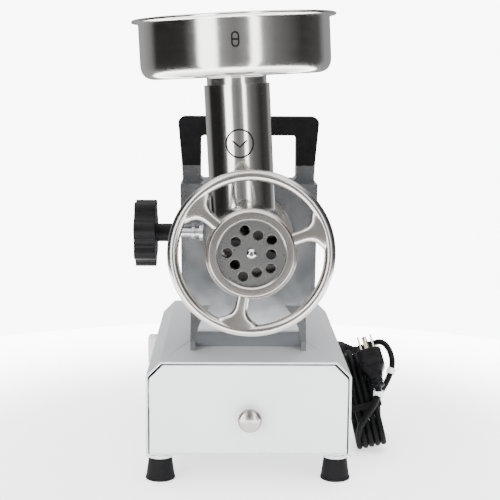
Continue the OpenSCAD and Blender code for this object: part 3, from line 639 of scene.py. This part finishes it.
def make_finishes(c):
    """Every material, by the record's slot name, plus those of single pieces."""
    barrel = tuple(spot(0, 0, AXIS_Z))
    tube = tuple(round_tube(0, 0, 60))
    FINISHES.update({
        "satin_silver": painted("satin_silver_paint", tuple(c.cabinet), 0.36, 0.55),
        "front_white": painted("pale_front_paint", tuple(c.drawer), 0.38, 0.0),
        "zinc_sheet": zinc("galvanised_sheet", (0.60, 0.61, 0.63), 0.34),
        "zinc_part": zinc("bright_zinc", (0.66, 0.67, 0.69), 0.27),
        "black_rubber": moulded("black_rubber", (0.005, 0.005, 0.0055), 0.62, 900, 0.25, 0.10),
        "cast_alloy": casting("polished_casting", tuple(c.casting), 0.17),
        "polished_steel": polished("mirror_steel", tuple(c.steel), 0.12, tube, (1, 1, 0.05)),
        "satin_steel": satin("satin_steel", tuple(c.wheel), 0.25),
        # painted shade: the drawer knob is the ring wheel's satin steel darkened to 0.62 of its
        # colour, a darker copy of the same steel
        "shaded_knob_steel": satin("satin_knob_steel", shade(tuple(c.wheel), 0.62), 0.22),
        "wheel_face": faced("turned_wheel_steel", tuple(c.wheel), 0.23, barrel),
        "plate_steel": satin("ground_plate_steel", (0.22, 0.218, 0.215), 0.27),
        "knife_steel": faced("oiled_knife_steel", (0.06, 0.058, 0.055), 0.42, barrel, 1400.0),
        "machined_steel": faced("machined_steel", (0.50, 0.50, 0.51), 0.27, barrel, 1100.0),
        "bearing_steel": faced("ground_bearing_steel", (0.62, 0.63, 0.64), 0.16, barrel, 1600.0),
        "black_plastic": moulded("moulded_black", (0.003, 0.003, 0.0034), 0.40, shine=0.10),
        "black_gloss": moulded("gloss_black", (0.004, 0.004, 0.0045), 0.16, 1200, 0.03, 0.3),
        "grey_plastic": moulded("moulded_grey", (0.48, 0.49, 0.50), 0.45),
        "nylon": moulded("natural_nylon", (0.74, 0.70, 0.58), 0.42, 1500, 0.08),
        "white_plastic": moulded("moulded_white", (0.74, 0.74, 0.72), 0.36, 1500, 0.06),
        "bronze": faced("bearing_bronze", (0.52, 0.34, 0.13), 0.30, barrel, 1100.0),
        "copper": wound("enamelled_copper_wire", (0.48, 0.17, 0.07)),
        "lamination": stacked("stacked_core_sheet", (0.30, 0.31, 0.32)),
        "cord_skin": sheath("black_cord_sheath", (0.0025, 0.0025, 0.0028)),
        "plug_brass": zinc("nickelled_brass", (0.70, 0.64, 0.50), 0.18),
        "brushed_pan": brushed("brushed_pan_steel", tuple(c.steel), 0.17, 0.75),
        "etched": moulded("etched_mark", (0.004, 0.0038, 0.0036), 0.6, 1800, 0.05, 0.06),
    })
    FINISHES["white_plastic"].node_tree.nodes["Principled BSDF"].inputs[
        "Subsurface Weight"].default_value = 0.15


def dress(piece, slot, *nodes, body, finish=None):
    """Gives the piece its finish, its body and the CAD nodes it stands for."""
    piece.data.materials.clear()
    piece.data.materials.append(FINISHES[finish or slot])
    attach(piece, body)
    if nodes:
        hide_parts(*nodes)
    return piece


def refine(*rows):
    """Rounded pieces for CAD nodes: (node, name, slot, body, then from_node's sizes)."""
    for node, name, slot, body, *shape in rows:
        dress(from_node(node, name, *shape), slot, node, body=body)


# ---------------------------------------------------------------- what a user would change

class GrinderSizes(bpy.types.PropertyGroup):
    """Sizes of the made pieces."""

    casting_edge: FloatProperty(
        name="Casting edge", description="Rounding of the casting's edges",
        default=0.0014, min=0.0002, max=0.003, unit="LENGTH")
    sheet_edge: FloatProperty(
        name="Sheet edge", description="Rounding of folded sheet edges",
        default=0.0006, min=0.0001, max=0.001, unit="LENGTH")
    handle_edge: FloatProperty(
        name="Handle edge", description="Rounding of the carrying handle's edges",
        default=0.0024, min=0.0005, max=0.004, unit="LENGTH")
    cord_diameter: FloatProperty(
        name="Cord diameter", description="Outside diameter of the mains cord",
        default=0.006, min=0.005, max=0.007, unit="LENGTH")
    relief_ribs: IntProperty(
        name="Strain relief ribs", description="Ribs on the sleeve where the cord comes out",
        default=9, min=4, max=14)


class GrinderColours(bpy.types.PropertyGroup):
    """Colours of the main finishes."""

    cabinet: FloatVectorProperty(
        name="Cabinet", description="Satin paint of the cabinet", subtype="COLOR",
        default=(0.56, 0.57, 0.585), min=0, max=1)
    drawer: FloatVectorProperty(
        name="Drawer front", description="Pale paint of the drawer front", subtype="COLOR",
        default=(0.70, 0.715, 0.735), min=0, max=1)
    casting: FloatVectorProperty(
        name="Casting", description="Polished aluminium of the gear housing", subtype="COLOR",
        default=(0.32, 0.335, 0.35), min=0, max=1)
    steel: FloatVectorProperty(
        name="Polished steel", description="Pan, feed tube and barrel", subtype="COLOR",
        default=(0.60, 0.585, 0.565), min=0, max=1)
    wheel: FloatVectorProperty(
        name="Satin steel", description="Ring wheel and drawer knob", subtype="COLOR",
        default=(0.41, 0.385, 0.36), min=0, max=1)


class GrinderStudio(bpy.types.PropertyGroup):
    """Light and camera."""

    key_power: FloatProperty(
        name="Key light", description="Power of the large soft lights", default=22.0,
        min=0, max=200, unit="POWER")
    backdrop: FloatProperty(
        name="Backdrop", description="Brightness of the white behind the object", default=11.0,
        min=0, max=30)
    floor_glow: FloatProperty(
        name="Floor glow", description="Brightness the floor has of itself near the object",
        default=1.2, min=0, max=10)
    lens: FloatProperty(
        name="Lens", description="Focal length of the camera", default=0.08616,
        min=0.02, max=0.2, unit="CAMERA")


def sizes():
    return bpy.context.scene.grinder_sizes


def mm(value):
    return value * 1000


# ---------------------------------------------------------------- operators

class GRINDER_OT_stage(bpy.types.Operator):
    """Make the camera, the pale floor and the soft studio light"""

    bl_idname = "grinder.stage"
    bl_label = "Stage"

    def execute(self, context):
        studio = context.scene.grinder_studio
        camera = placed("camera", bpy.data.cameras.new("camera"))
        camera.location = CAMERA_AT
        camera.rotation_mode = "QUATERNION"
        camera.rotation_quaternion = (
            Matrix.Rotation(CAMERA_PAN, 3, "Z") @ Matrix.Rotation(math.pi / 2 - CAMERA_DOWN, 3, "X")
            @ Matrix.Rotation(CAMERA_ROLL, 3, "Z")).to_quaternion()
        camera.data.sensor_width = 36
        camera.data.lens = studio.lens * 1000
        camera.data.clip_start, camera.data.clip_end = 0.05, 30
        context.scene.camera = camera
        self.floor(studio)
        middle = (0, 0, 0.2)
        for name, place, size, share, aim in (
            ("key_left", (-1.3, -1.3, 1.1), 1.0, 1.0, middle),
            ("key_right", (1.4, -1.1, 0.9), 1.0, 0.7, middle),
            ("key_top", (0.0, -0.2, 1.9), 1.4, 0.8, (0, 0, 0.1)),
            ("back_left", (-1.2, 1.5, 0.8), 1.0, 0.6, middle),
            ("back_right", (1.2, 1.5, 1.0), 1.0, 0.6, middle),
        ):
            lamp = bpy.data.lights.new(name, "AREA")
            lamp.size = size
            lamp.energy = studio.key_power * share
            light = placed(name, lamp)
            light.location = place
            light.rotation_mode = "QUATERNION"
            light.rotation_quaternion = (Vector(aim) - Vector(place)).to_track_quat("-Z", "Y")
            light.visible_glossy = light.visible_camera = False
        self.surroundings(context, studio.backdrop)
        return {"FINISHED"}

    def floor(self, studio):
        """A small pale disc that glows of itself: the painted glow is floor_glow near the object
        and rises to the backdrop's brightness towards its rim, so the disc merges into the
        backdrop; its colour runs to black where the glow is strongest.
        """
        around, radius, drop = 96, 0.62, 0.0002
        turns = [2 * math.pi * k / around for k in range(around)]
        floor = new_piece("floor", [(radius * math.cos(a), radius * math.sin(a), -drop)
                                    for a in turns], [tuple(range(around))])
        paper = Finish("pale_paper", (0.90, 0.90, 0.895), 0.8)
        paper.vary_roughness(paper.noise(60, 3), 0.75, 0.9)
        paper.bump(paper.noise(700, 3), 0.05, 0.0002)
        # painted glow: the floor's own emission grows with the distance from its middle
        reach = paper.add("ShaderNodeVectorMath", operation="LENGTH")
        rim_glow = paper.add("ShaderNodeMapRange", {
            "From Min": 0.24, "From Max": 0.60, "To Min": studio.floor_glow,
            "To Max": studio.backdrop}, interpolation_type="SMOOTHSTEP")
        share = paper.add("ShaderNodeMapRange", {
            "From Min": studio.floor_glow, "From Max": studio.backdrop})
        paper.constants({"Emission Color": (1, 1, 1, 1)})
        wire(paper.tree, (paper.mapping, "Vector", reach, 0), (reach, "Value", rim_glow, "Value"),
             (rim_glow, "Result", paper.shader, "Emission Strength"),
             (rim_glow, "Result", share, "Value"))
        # painted glow: the base colour runs from pale to black as the floor's own glow rises
        # towards the rim
        paper.vary_colour(share.outputs["Result"], (0, 0, 0), 0, 1)
        floor.data.materials.append(paper.material)

    def surroundings(self, context, backdrop):
        """White behind the object; soft boxes and dark flags for what the steel mirrors."""
        world = bpy.data.worlds.new("studio")
        context.scene.world = world
        world.use_nodes = True
        tree = world.node_tree
        tree.nodes.clear()
        coords = add_node(tree, "ShaderNodeTexCoord")
        split = add_node(tree, "ShaderNodeSeparateXYZ")
        back = add_node(tree, "ShaderNodeMath", {1: -1}, operation="MULTIPLY")
        angle = add_node(tree, "ShaderNodeMath", operation="ARCTAN2")
        share = add_node(tree, "ShaderNodeMapRange", {"From Min": -math.pi, "From Max": math.pi})
        ramp = add_node(tree, "ShaderNodeValToRGB")
        stops = [(-180, .055), (-140, .07), (-120, .045), (-108, .004), (-62, .002), (-46, .03),
                 (-42, 1), (-23, 1), (-20, .06), (0, .035), (17, .06), (20, 1), (27, 1), (31, .07),
                 (48, .03), (85, .006), (118, .014), (134, .06), (180, .055)]
        band = ramp.color_ramp
        while len(band.elements) < len(stops):
            band.elements.new(0.5)
        for element, (degrees, value) in zip(band.elements, stops):
            element.position = (degrees + 180) / 360
            element.color = (value, value, value * 1.01, 1)
        high = add_node(tree, "ShaderNodeMapRange", {"From Min": 0.62, "From Max": 0.82},
                        interpolation_type="SMOOTHSTEP")
        sky = add_node(tree, "ShaderNodeMix", {"B": (0.5, 0.5, 0.505, 1)}, data_type="RGBA")
        lit = add_node(tree, "ShaderNodeBackground", {"Strength": 8.0})
        seen = add_node(tree, "ShaderNodeBackground", {"Strength": backdrop})
        path = add_node(tree, "ShaderNodeLightPath")
        pick = add_node(tree, "ShaderNodeMixShader")
        wire(tree, (coords, "Generated", split, "Vector"), (split, "Y", back, 0),
             (split, "X", angle, 0), (back, 0, angle, 1), (angle, 0, share, "Value"),
             (share, "Result", ramp, "Fac"), (split, "Z", high, "Value"),
             (high, "Result", sky, "Factor"), (ramp, "Color", sky, "A"),
             (sky, "Result", lit, "Color"), (path, "Is Camera Ray", pick, "Fac"),
             (lit, "Background", pick, 1), (seen, "Background", pick, 2),
             (pick, "Shader", add_node(tree, "ShaderNodeOutputWorld"), "Surface"))


class GRINDER_OT_cord(bpy.types.Operator):
    """Lay the mains cord: lead, hank of five turns and tail, with plug, tie and strap"""

    bl_idname = "grinder.cord"
    bl_label = "Cord and plug"

    def execute(self, context):
        path, length = smooth_path(LEAD_ROUTE + self.hank() + TAIL_ROUTE, 5.0)
        thick = sizes().cord_diameter
        curve = bpy.data.curves.new("mains_cord", "CURVE")
        curve.dimensions = "3D"
        curve.resolution_u = 3
        curve.bevel_depth = thick / 2
        curve.bevel_resolution = 4
        curve.use_fill_caps = True
        line = curve.splines.new("BEZIER")
        line.bezier_points.add(len(path) - 1)
        for point, place in zip(line.bezier_points, path):
            point.co = spot(WALL + place.x, place.y, place.z)
            point.handle_left_type = point.handle_right_type = "AUTO"
        cord = placed("mains_cord", curve)
        dress(cord, "cord_skin", "cord_lead", "cord_hank", "cord_tail", body="base")
        plug = self.plug()
        pins = dress(from_node("plug_blades", "plug_pins", 0.5, 3), "plug_brass", "plug_blades",
                     body="base")
        tie = dress(from_node("cord_tie", "cord_sleeve", 0.5, 3), "white_plastic", "cord_tie",
                    body="base")
        self.strap()
        self.clip(path)
        self.relief(path)
        return {"FINISHED"}

    def hank(self):
        """Points round the long loops, each a little different from the last."""
        r, low, high = HANK["radius"], HANK["low"], HANK["high"]
        drop, half, run = 7, math.pi * r, high - low
        start, around = low + drop, 2 * run + 2 * half
        rise, sway = (1.5, -1.5, 2.5, -0.5, 1.0), (2.0, -1.5, 0.5, -2.5, 1.5)
        total = 4 * around + drop + half + 1
        steps = int(total / 9)
        made = []
        for k in range(1, steps):
            walked = total * k / steps
            turn, s = divmod(walked, around)
            if s < drop:
                y, z = r, start - s
            elif s < drop + half:
                a = (s - drop) / r
                y, z = r * math.cos(a), low - r * math.sin(a)
            elif s < drop + half + run:
                y, z = -r, low + s - drop - half
            elif s < drop + 2 * half + run:
                a = (s - drop - half - run) / r
                y, z = -r * math.cos(a), high + r * math.sin(a)
            else:
                y, z = r, high - (s - drop - 2 * half - run)
            if z > start:
                t = (z - start) / (high + r - start)
                z += rise[int(turn)] * t
                y += sway[int(turn)] * t * t
            made.append(in_hank(12 - 6 * walked / around, y, z))
        return made

    def plug(self):
        rows = [(-3, 4.6, 4.6, 2), (-2.4, 5.4, 5.4, 2), (0, 5.6, 5.6, 2), (0.6, 4.9, 4.9, 2),
                (1.8, 4.9, 4.9, 2), (2.4, 5.8, 5.8, 2), (4.2, 5.9, 5.9, 2), (4.8, 5.2, 5.2, 2),
                (6, 5.3, 5.2, 2), (6.6, 6.3, 6.0, 2.2), (8.6, 6.9, 6.3, 2.4)]
        for k in range(12):
            t = k / 11
            ease = t * t * (3 - 2 * t)
            rows.append((9.5 + 9.5 * t, 7.2 + 4.6 * ease, 6.5 + 3.7 * ease, 2.6 + 2.4 * ease))
        rows += [(19 + 15.4 * k / 15, 11.8 + 0.2 * k / 15, 10.2 + 0.3 * k / 15, 5.0)
                 for k in range(1, 16)]
        rows += [(35.3, 11.7, 10.2, 4.6), (35.9, 11.0, 9.5, 4.2), (36, 9.5, 8.0, 4)]
        body = lofted("plug_moulding", rows, in_plug, around=96)
        origin, back = in_plug(0, 0, 0), PLUG_TURN.transposed()
        face = PLUG_TURN @ Vector((0, 1, 0))
        for v in body.data.vertices:
            p = back @ (v.co - origin) * 1000
            if abs(p.y) > 5 and 19.5 < p.z < 34:
                # three-sided finger rest, deepest in its middle
                t = min((p.z - 20.5) / 5, (33.0 - p.z) * 0.55 - abs(p.x) * 0.62 + 0.6, 1)
                if t > 0:
                    v.co -= face * math.copysign(0.0009 * t * t * (3 - 2 * t), p.y)
        return dress(body, "black_plastic", "plug_body", body="base")

    def strap(self):
        """A strap hugging the turns."""
        def place(out, a, h):
            x, y, z = in_hank(*squarish(a, 15.2 + out, 21.4 + out, 7), h - 3.4)
            return spot(WALL + x, y, z)
        outline = [(0.9, 44), (1.5, 44.4), (1.5, 49.6), (0.9, 50), (0.1, 50), (0.1, 44)]
        strap = by_angle(turned("hank_band", outline, place, 72), 40)
        return dress(strap, "black_plastic", "hank_strap", body="base", finish="black_rubber")

    def clip(self, path):
        """A small clear clip on the lead, above the hank."""
        near = min(range(4, len(path) // 6), key=lambda i: abs(path[i].z - 68) + (i < 14) * 50)
        here, ahead = (spot(WALL + p.x, p.y, p.z) for p in path[near:near + 2])
        turn = (ahead - here).to_track_quat("Z", "Y")

        def place(r, a, h):
            return here + turn @ Vector((r * math.cos(a), r * math.sin(a), h)) / 1000
        ring = softened([(3.1, -3), (4.3, -3, 0.4), (4.3, 3, 0.4), (3.1, 3)], 3)
        return dress(by_angle(turned("lead_clip", ring, place, 40), 50), "white_plastic",
                     body="base")

    def relief(self, path):
        """Nut with a ribbed sleeve that tapers along the first stretch of the lead."""
        refine(("cable_gland", "gland_nut", "black_plastic", "base", 0.6, 3))
        first = [Vector((12.0, 200.0, 79.0)), Vector((16.0, 200.0, 79.0))] + path[:6]
        curve = bpy.data.curves.new("relief_path", "CURVE")
        curve.dimensions = "3D"
        line = curve.splines.new("POLY")
        line.points.add(len(first) - 1)
        for i, (point, place) in enumerate(zip(line.points, first)):
            point.co = (*spot(WALL + place.x, place.y, place.z), 1)
            point.radius = 1.32 - 0.30 * i / (len(first) - 1)
        host = placed("relief_path", curve)
        sleeve_curve = curve.copy()
        sleeve_curve.bevel_depth = 0.0035
        sleeve_curve.bevel_resolution = 5
        sleeve_curve.use_fill_caps = True
        sleeve_host = placed("relief_sleeve", sleeve_curve)
        mesh = made_real(sleeve_host)
        bpy.data.objects.remove(sleeve_host)
        sleeve = placed("relief_sleeve", mesh)
        ribs = grown("relief_ribs", path_rings_tree(), {
            "Count": sizes().relief_ribs, "First radius": 0.0048, "Last radius": 0.0037,
            "Ring thickness": 0.00075, "Finish": FINISHES["black_rubber"]}, base=host)
        for piece, angle in ((sleeve, 50), (ribs, 60)):
            dress(by_angle(piece, angle), "black_plastic", body="base", finish="black_rubber")


class GRINDER_OT_cabinet(bpy.types.Operator):
    """Finish the folded cabinet"""

    bl_idname = "grinder.cabinet"
    bl_label = "Cabinet"

    def execute(self, context):
        refine(("cabinet_shell", "cabinet_case", "satin_silver", "base",
                mm(sizes().sheet_edge), 3, 28, 0),
               ("cabinet_floor", "cabinet_base_plate", "zinc_sheet", "base", 0.3))
        rivet = turned("rivet", softened([(0, 0), (2.6, 0), (2.4, 0.9, 0.6), (0, 1.5)], 3),
                       lambda r, a, h: Vector((r * math.cos(a), h, r * math.sin(a))) / 1000, 24)
        by_angle(rivet, 60)
        rivets = grown("back_rivets", corner_copies_tree(), {
            "Piece": rivet, "Width": 0.148, "Depth": 0.058, "Upright angle": math.pi / 2,
            "Centre": tuple(spot(0, 290.0, 66)), "Finish": FINISHES["zinc_part"]})
        bpy.data.objects.remove(rivet)
        dress(rivets, "zinc_part", body="base")
        return {"FINISHED"}


class GRINDER_OT_feet(bpy.types.Operator):
    """Set the four rubber feet, spacers and screws"""

    bl_idname = "grinder.feet"
    bl_label = "Feet"

    def execute(self, context):
        low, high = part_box("feet")
        centre = (low + high) / 2
        width, depth = high.x - low.x - 0.0275, high.y - low.y - 0.0275
        tree = corner_copies_tree()

        def place(r, a, h):
            return Vector((r * math.cos(a), r * math.sin(a), h)) / 1000
        foot = softened([(6.0, 0.0, 0.5), (13.75, 0.0, 1.0), (13.6, 2.2, 0.4), (13.0, 2.9, 0.4),
                         (12.75, 4.6, 0.5), (10.55, 20.9, 0.8), (2.8, 21.0), (2.8, 7.1),
                         (6.0, 7.0)], 4)
        spacer = softened([(2.7, 21.0), (12.0, 21.0, 0.5), (12.0, 23.9, 0.5), (11.5, 24.4, 0.3),
                           (12.0, 24.9, 0.5), (12.0, 28.0, 0.4), (2.7, 28.0)], 3)
        for name, outline, node, slot in (("rubber_feet", foot, "feet", "black_rubber"),
                                          ("foot_rings", spacer, "foot_spacers", "zinc_part")):
            one = by_angle(turned("one_" + name, outline, place, 64), 35)
            piece = grown(name, tree, {
                "Piece": one, "Width": width, "Depth": depth,
                "Centre": (centre.x, centre.y, 0.0), "Finish": FINISHES[slot]})
            bpy.data.objects.remove(one)
            dress(piece, slot, node, body="base")
        refine(("foot_screws", "foot_screw_set", "zinc_part", "base", 0.3))
        return {"FINISHED"}


class GRINDER_OT_drawer(bpy.types.Operator):
    """Finish the drawer front, tray and knob"""

    bl_idname = "grinder.drawer"
    bl_label = "Drawer"

    def execute(self, context):
        refine(("drawer_front", "drawer_panel", "front_white", "drawer", 0.9, 4),
               ("drawer_tray", "drawer_box", "zinc_sheet", "drawer", 0.3))

        def place(r, a, h):
            return spot(1 + r * math.cos(a), -h, 64 + r * math.sin(a))
        dome = [(0.0, 14.9)] + [(10.6 * math.sin(t * 0.157), 9.6 + 5.3 * math.cos(t * 0.157))
                                for t in range(1, 10)] + [(10.75, 9.2)]
        outline = dome + softened([(10.75, 8.0, 0.8), (8.6, 7.0, 0.6), (5.2, 6.2, 1.4),
                                   (4.9, 1.4, 0.8), (6.0, 0.6, 0.3), (6.0, 0.0), (0.0, 0.0)], 4)
        knob = by_angle(turned("drawer_pull", outline, place, 72), 40)
        # the knob takes the darkened copy of the wheel's steel, which is painted shade
        dress(knob, "satin_steel", body="drawer", finish="shaded_knob_steel")
        return {"FINISHED"}


class GRINDER_OT_housing(bpy.types.Operator):
    """Finish the gear housing with its cover and screws, the motor saddle, handle and lock"""

    bl_idname = "grinder.housing"
    bl_label = "Housing, handle and lock"

    def execute(self, context):
        refine(("gear_housing", "housing_casting", "cast_alloy", "base",
                mm(sizes().casting_edge), 3, 24, 0),
               ("gear_cover", "housing_cover", "cast_alloy", "base", 1.0, 3, 28, 0),
               ("housing_screws", "cover_screws", "machined_steel", "base", 0.4),
               ("motor_cradle", "motor_saddle", "cast_alloy", "base", 1.2, 3),
               ("carry_handle", "handle_grip", "black_plastic", "base",
                mm(sizes().handle_edge), 4, 40, 12),
               ("lock_knob", "lobed_knob", "black_plastic", "knob", 1.6, 4, 32),
               ("lock_stud", "lock_rod", "machined_steel", "stud", 0.4, 2))
        return {"FINISHED"}


class GRINDER_OT_head(bpy.types.Operator):
    """Finish the feed tube and barrel, with the etched ring mark"""

    bl_idname = "grinder.head"
    bl_label = "Head and feed tube"

    def execute(self, context):
        body = from_node("head_body", "head_shell", 0.35, 2, 40)
        lean_up = np.array(round_tube(0, 0, 1000) - round_tube(0, 0, 0))
        lean_up /= np.linalg.norm(lean_up)
        along = np.array((0.0, 1.0, 0.0))
        tube, barrel = np.array(round_tube(0, 0, 0)), np.array(round_barrel(0, 0, 0))
        true_rounds(body, [
            (tube, lean_up, 0.028), (tube, lean_up, 0.026), (tube, lean_up, 0.0245),
            (barrel, along, 0.035), (barrel, along, 0.0335), (barrel, along, 0.039),
            (barrel, along, 0.026), (barrel, along, 0.0266)])
        dress(body, "polished_steel", "head_body", body="head")

        def wrap(u, v, lift):
            return round_tube(28 + lift, -math.pi / 2 + u / 28, 86 + v)
        ring = arc(0, 0, 11.6, [a * 5.625 for a in range(65)])
        chevron = [(-6.2, 2.4), (-4.1, 0.6), (-2.1, -1.2), (0, -3.0), (2.1, -1.2), (4.1, 0.6),
                   (6.2, 2.4)]
        mark = strips_on("tube_mark", [ring, chevron], wrap, 1.25)
        dress(mark, "polished_steel", body="head", finish="etched")
        return {"FINISHED"}


class GRINDER_OT_pan(bpy.types.Operator):
    """Turn the round meat pan with its rolled lip and neck"""

    bl_idname = "grinder.pan"
    bl_label = "Meat pan"

    def execute(self, context):
        lip = (arc(85, 44.8, 4.0, range(180, 94, -9)) + arc(85.2, 48.6, 1.4, range(-80, 81, 20))
               + arc(85, 44.8, 5.2, range(90, 181, 9)))
        outline = (
            softened([(24.0, -28.5), (25.5, -28.5), (25.5, 0.0, 1.2), (81.0, 0.0, 13.0),
                      (81.0, 30.0)], 14)
            + lip
            + softened([(79.8, 30.0), (79.8, 1.2, 12.0), (24.0, 1.2, 1.2), (24.0, -28.5)], 14)[:-1])
        pan = by_angle(turned("pan_bowl", outline, round_pan, 192), 40)
        dress(pan, "polished_steel", "meat_pan", body="pan", finish="brushed_pan")

        def wrap(u, v, lift):
            return round_pan(81 + lift, -math.pi / 2 + u / 81, 29 + v)
        ends = arc(0, 2.9, 2.6, range(0, 181, 15))
        capsule = ends + [(-x, -y) for x, y in ends]
        capsule.append(capsule[0])
        mark = strips_on("pan_mark", [capsule, [(-2.2, 0), (2.2, 0)]], wrap, 1.3)
        dress(mark, "polished_steel", body="pan", finish="etched")
        return {"FINISHED"}


class GRINDER_OT_wheel(bpy.types.Operator):
    """Make the ring wheel: turned hub, round rim and three flared spokes"""

    bl_idname = "grinder.wheel"
    bl_label = "Ring wheel"

    def execute(self, context):
        hub = softened([
            (37.0, -62.0, 1.2), (37.0, -85.2, 0.8), (34.2, -88.0, 0.8), (28.5, -88.0, 0.4),
            (27.2, -86.6, 0.4), (27.0, -84.1), (33.55, -83.9), (33.55, -62.0, 0.5)], 4)
        rim = arc(63.35, -83.35, 4.65, range(0, 360, 15))
        rings = joined("wheel_rings", [
            by_angle(turned("hub", hub, round_barrel, 144), 40),
            turned("rim", rim, round_barrel, 160)])
        by_angle(rings, 40)
        dress(rings, "satin_steel", "ring_wheel", body="wheel", finish="wheel_face")

        rows = [(33.8, 5.0), (43.5, 5.0), (46, 5.26), (48.5, 6.1), (51, 7.6), (53, 9.8),
                (54.5, 12.2), (55.4, 14.6), (57.0, 17.2), (59.5, 18.6), (61.0, 18.8),
                (62.5, 18.6), (63.2, 18.2)]
        sections = [(x, min(4.62, 3.5 + max(0, x - 47) ** 1.2 * 0.036), half, 3.0)
                    for x, half in rows]
        spoke = lofted("spoke", sections,
                       lambda d, w, x: Vector((x, d, w)) / 1000, 40)
        by_angle(spoke, 60)
        spokes = grown("wheel_spokes", wheel_copies_tree(), {
            "Piece": spoke, "Count": 3, "Start angle": -math.radians(16.5) - LEAN,
            "Finish": FINISHES["wheel_face"]})
        bpy.data.objects.remove(spoke)
        spokes.data.transform(Matrix.Translation(spot(0, FRONT_Y + 4.7, AXIS_Z)))
        dress(spokes, "satin_steel", body="wheel", finish="wheel_face")
        return {"FINISHED"}


class GRINDER_OT_cutting(bpy.types.Operator):
    """Finish the plate, knife and the worm's front pin"""

    bl_idname = "grinder.cutting"
    bl_label = "Plate, knife and worm"

    def execute(self, context):
        refine(("grinding_plate", "hole_plate", "plate_steel", "plate", 0.4, 2, 40, 0))
        pin = from_node("front_pin", "worm_pin", 0.4, 2, 40, 0)
        dress(pin, "machined_steel", "front_pin", body="auger", finish="bearing_steel")
        knife = from_node("cross_knife", "knife_cross", 0.3, 2, flat=0)
        dress(knife, "plate_steel", "cross_knife", body="auger", finish="knife_steel")
        return {"FINISHED"}


class GRINDER_OT_motor(bpy.types.Operator):
    """Finish the motor's tube and end cap, the switch guard and the rocker"""

    bl_idname = "grinder.motor"
    bl_label = "Motor and switch"

    def execute(self, context):
        refine(("motor_tube", "motor_case", "satin_silver", "base", 0.5, 2, 40),
               ("motor_cap", "motor_end_cap", "black_plastic", "base", 1.4, 3, 40),
               ("switch_frame", "switch_guard", "grey_plastic", "base", 0.9, 3),
               ("switch_rocker", "rocker_cap", "black_gloss", "rocker", 0.6, 3, 40))
        return {"FINISHED"}


class GRINDER_OT_inner_parts(bpy.types.Operator):
    """Give every CAD node that stays its finish"""

    bl_idname = "grinder.inner_parts"
    bl_label = "Inner parts"

    def execute(self, context):
        for part in frame["record"]["subparts"]:
            node = frame["nodes"][part["node"]]
            node.data.materials.clear()
            node.data.materials.append(FINISHES[part["material_slot"]])
        return {"FINISHED"}


class GRINDER_PT_panel(bpy.types.Panel):
    """Lists the grinder's sizes, colours and pieces"""

    bl_idname = "GRINDER_PT_panel"
    bl_label = "Meat grinder"
    bl_space_type = "VIEW_3D"
    bl_region_type = "UI"
    bl_category = "Grinder"

    def draw(self, context):
        scene = context.scene
        for title, group in (("Sizes", scene.grinder_sizes), ("Colours", scene.grinder_colours),
                             ("Studio", scene.grinder_studio)):
            box = self.layout.box()
            box.label(text=title)
            for key in group.__annotations__:
                box.prop(group, key)
        column = self.layout.column(align=True)
        for operator in OPERATORS:
            column.operator(operator.bl_idname)


OPERATORS = (
    GRINDER_OT_stage, GRINDER_OT_inner_parts, GRINDER_OT_cord, GRINDER_OT_cabinet,
    GRINDER_OT_feet, GRINDER_OT_drawer, GRINDER_OT_housing, GRINDER_OT_head, GRINDER_OT_pan,
    GRINDER_OT_wheel, GRINDER_OT_cutting, GRINDER_OT_motor,
)
CLASSES = (GrinderSizes, GrinderColours, GrinderStudio) + OPERATORS + (GRINDER_PT_panel,)


def register():
    for kind in CLASSES:
        bpy.utils.register_class(kind)
    bpy.types.Scene.grinder_sizes = PointerProperty(type=GrinderSizes)
    bpy.types.Scene.grinder_colours = PointerProperty(type=GrinderColours)
    bpy.types.Scene.grinder_studio = PointerProperty(type=GrinderStudio)


def unregister():
    del bpy.types.Scene.grinder_studio
    del bpy.types.Scene.grinder_colours
    del bpy.types.Scene.grinder_sizes
    for kind in reversed(CLASSES):
        bpy.utils.unregister_class(kind)


def main():
    register()
    make_finishes(bpy.context.scene.grinder_colours)
    for operator in OPERATORS:
        group, call = operator.bl_idname.split(".")
        getattr(getattr(bpy.ops, group), call)()


if __name__ == "__main__":
    main()
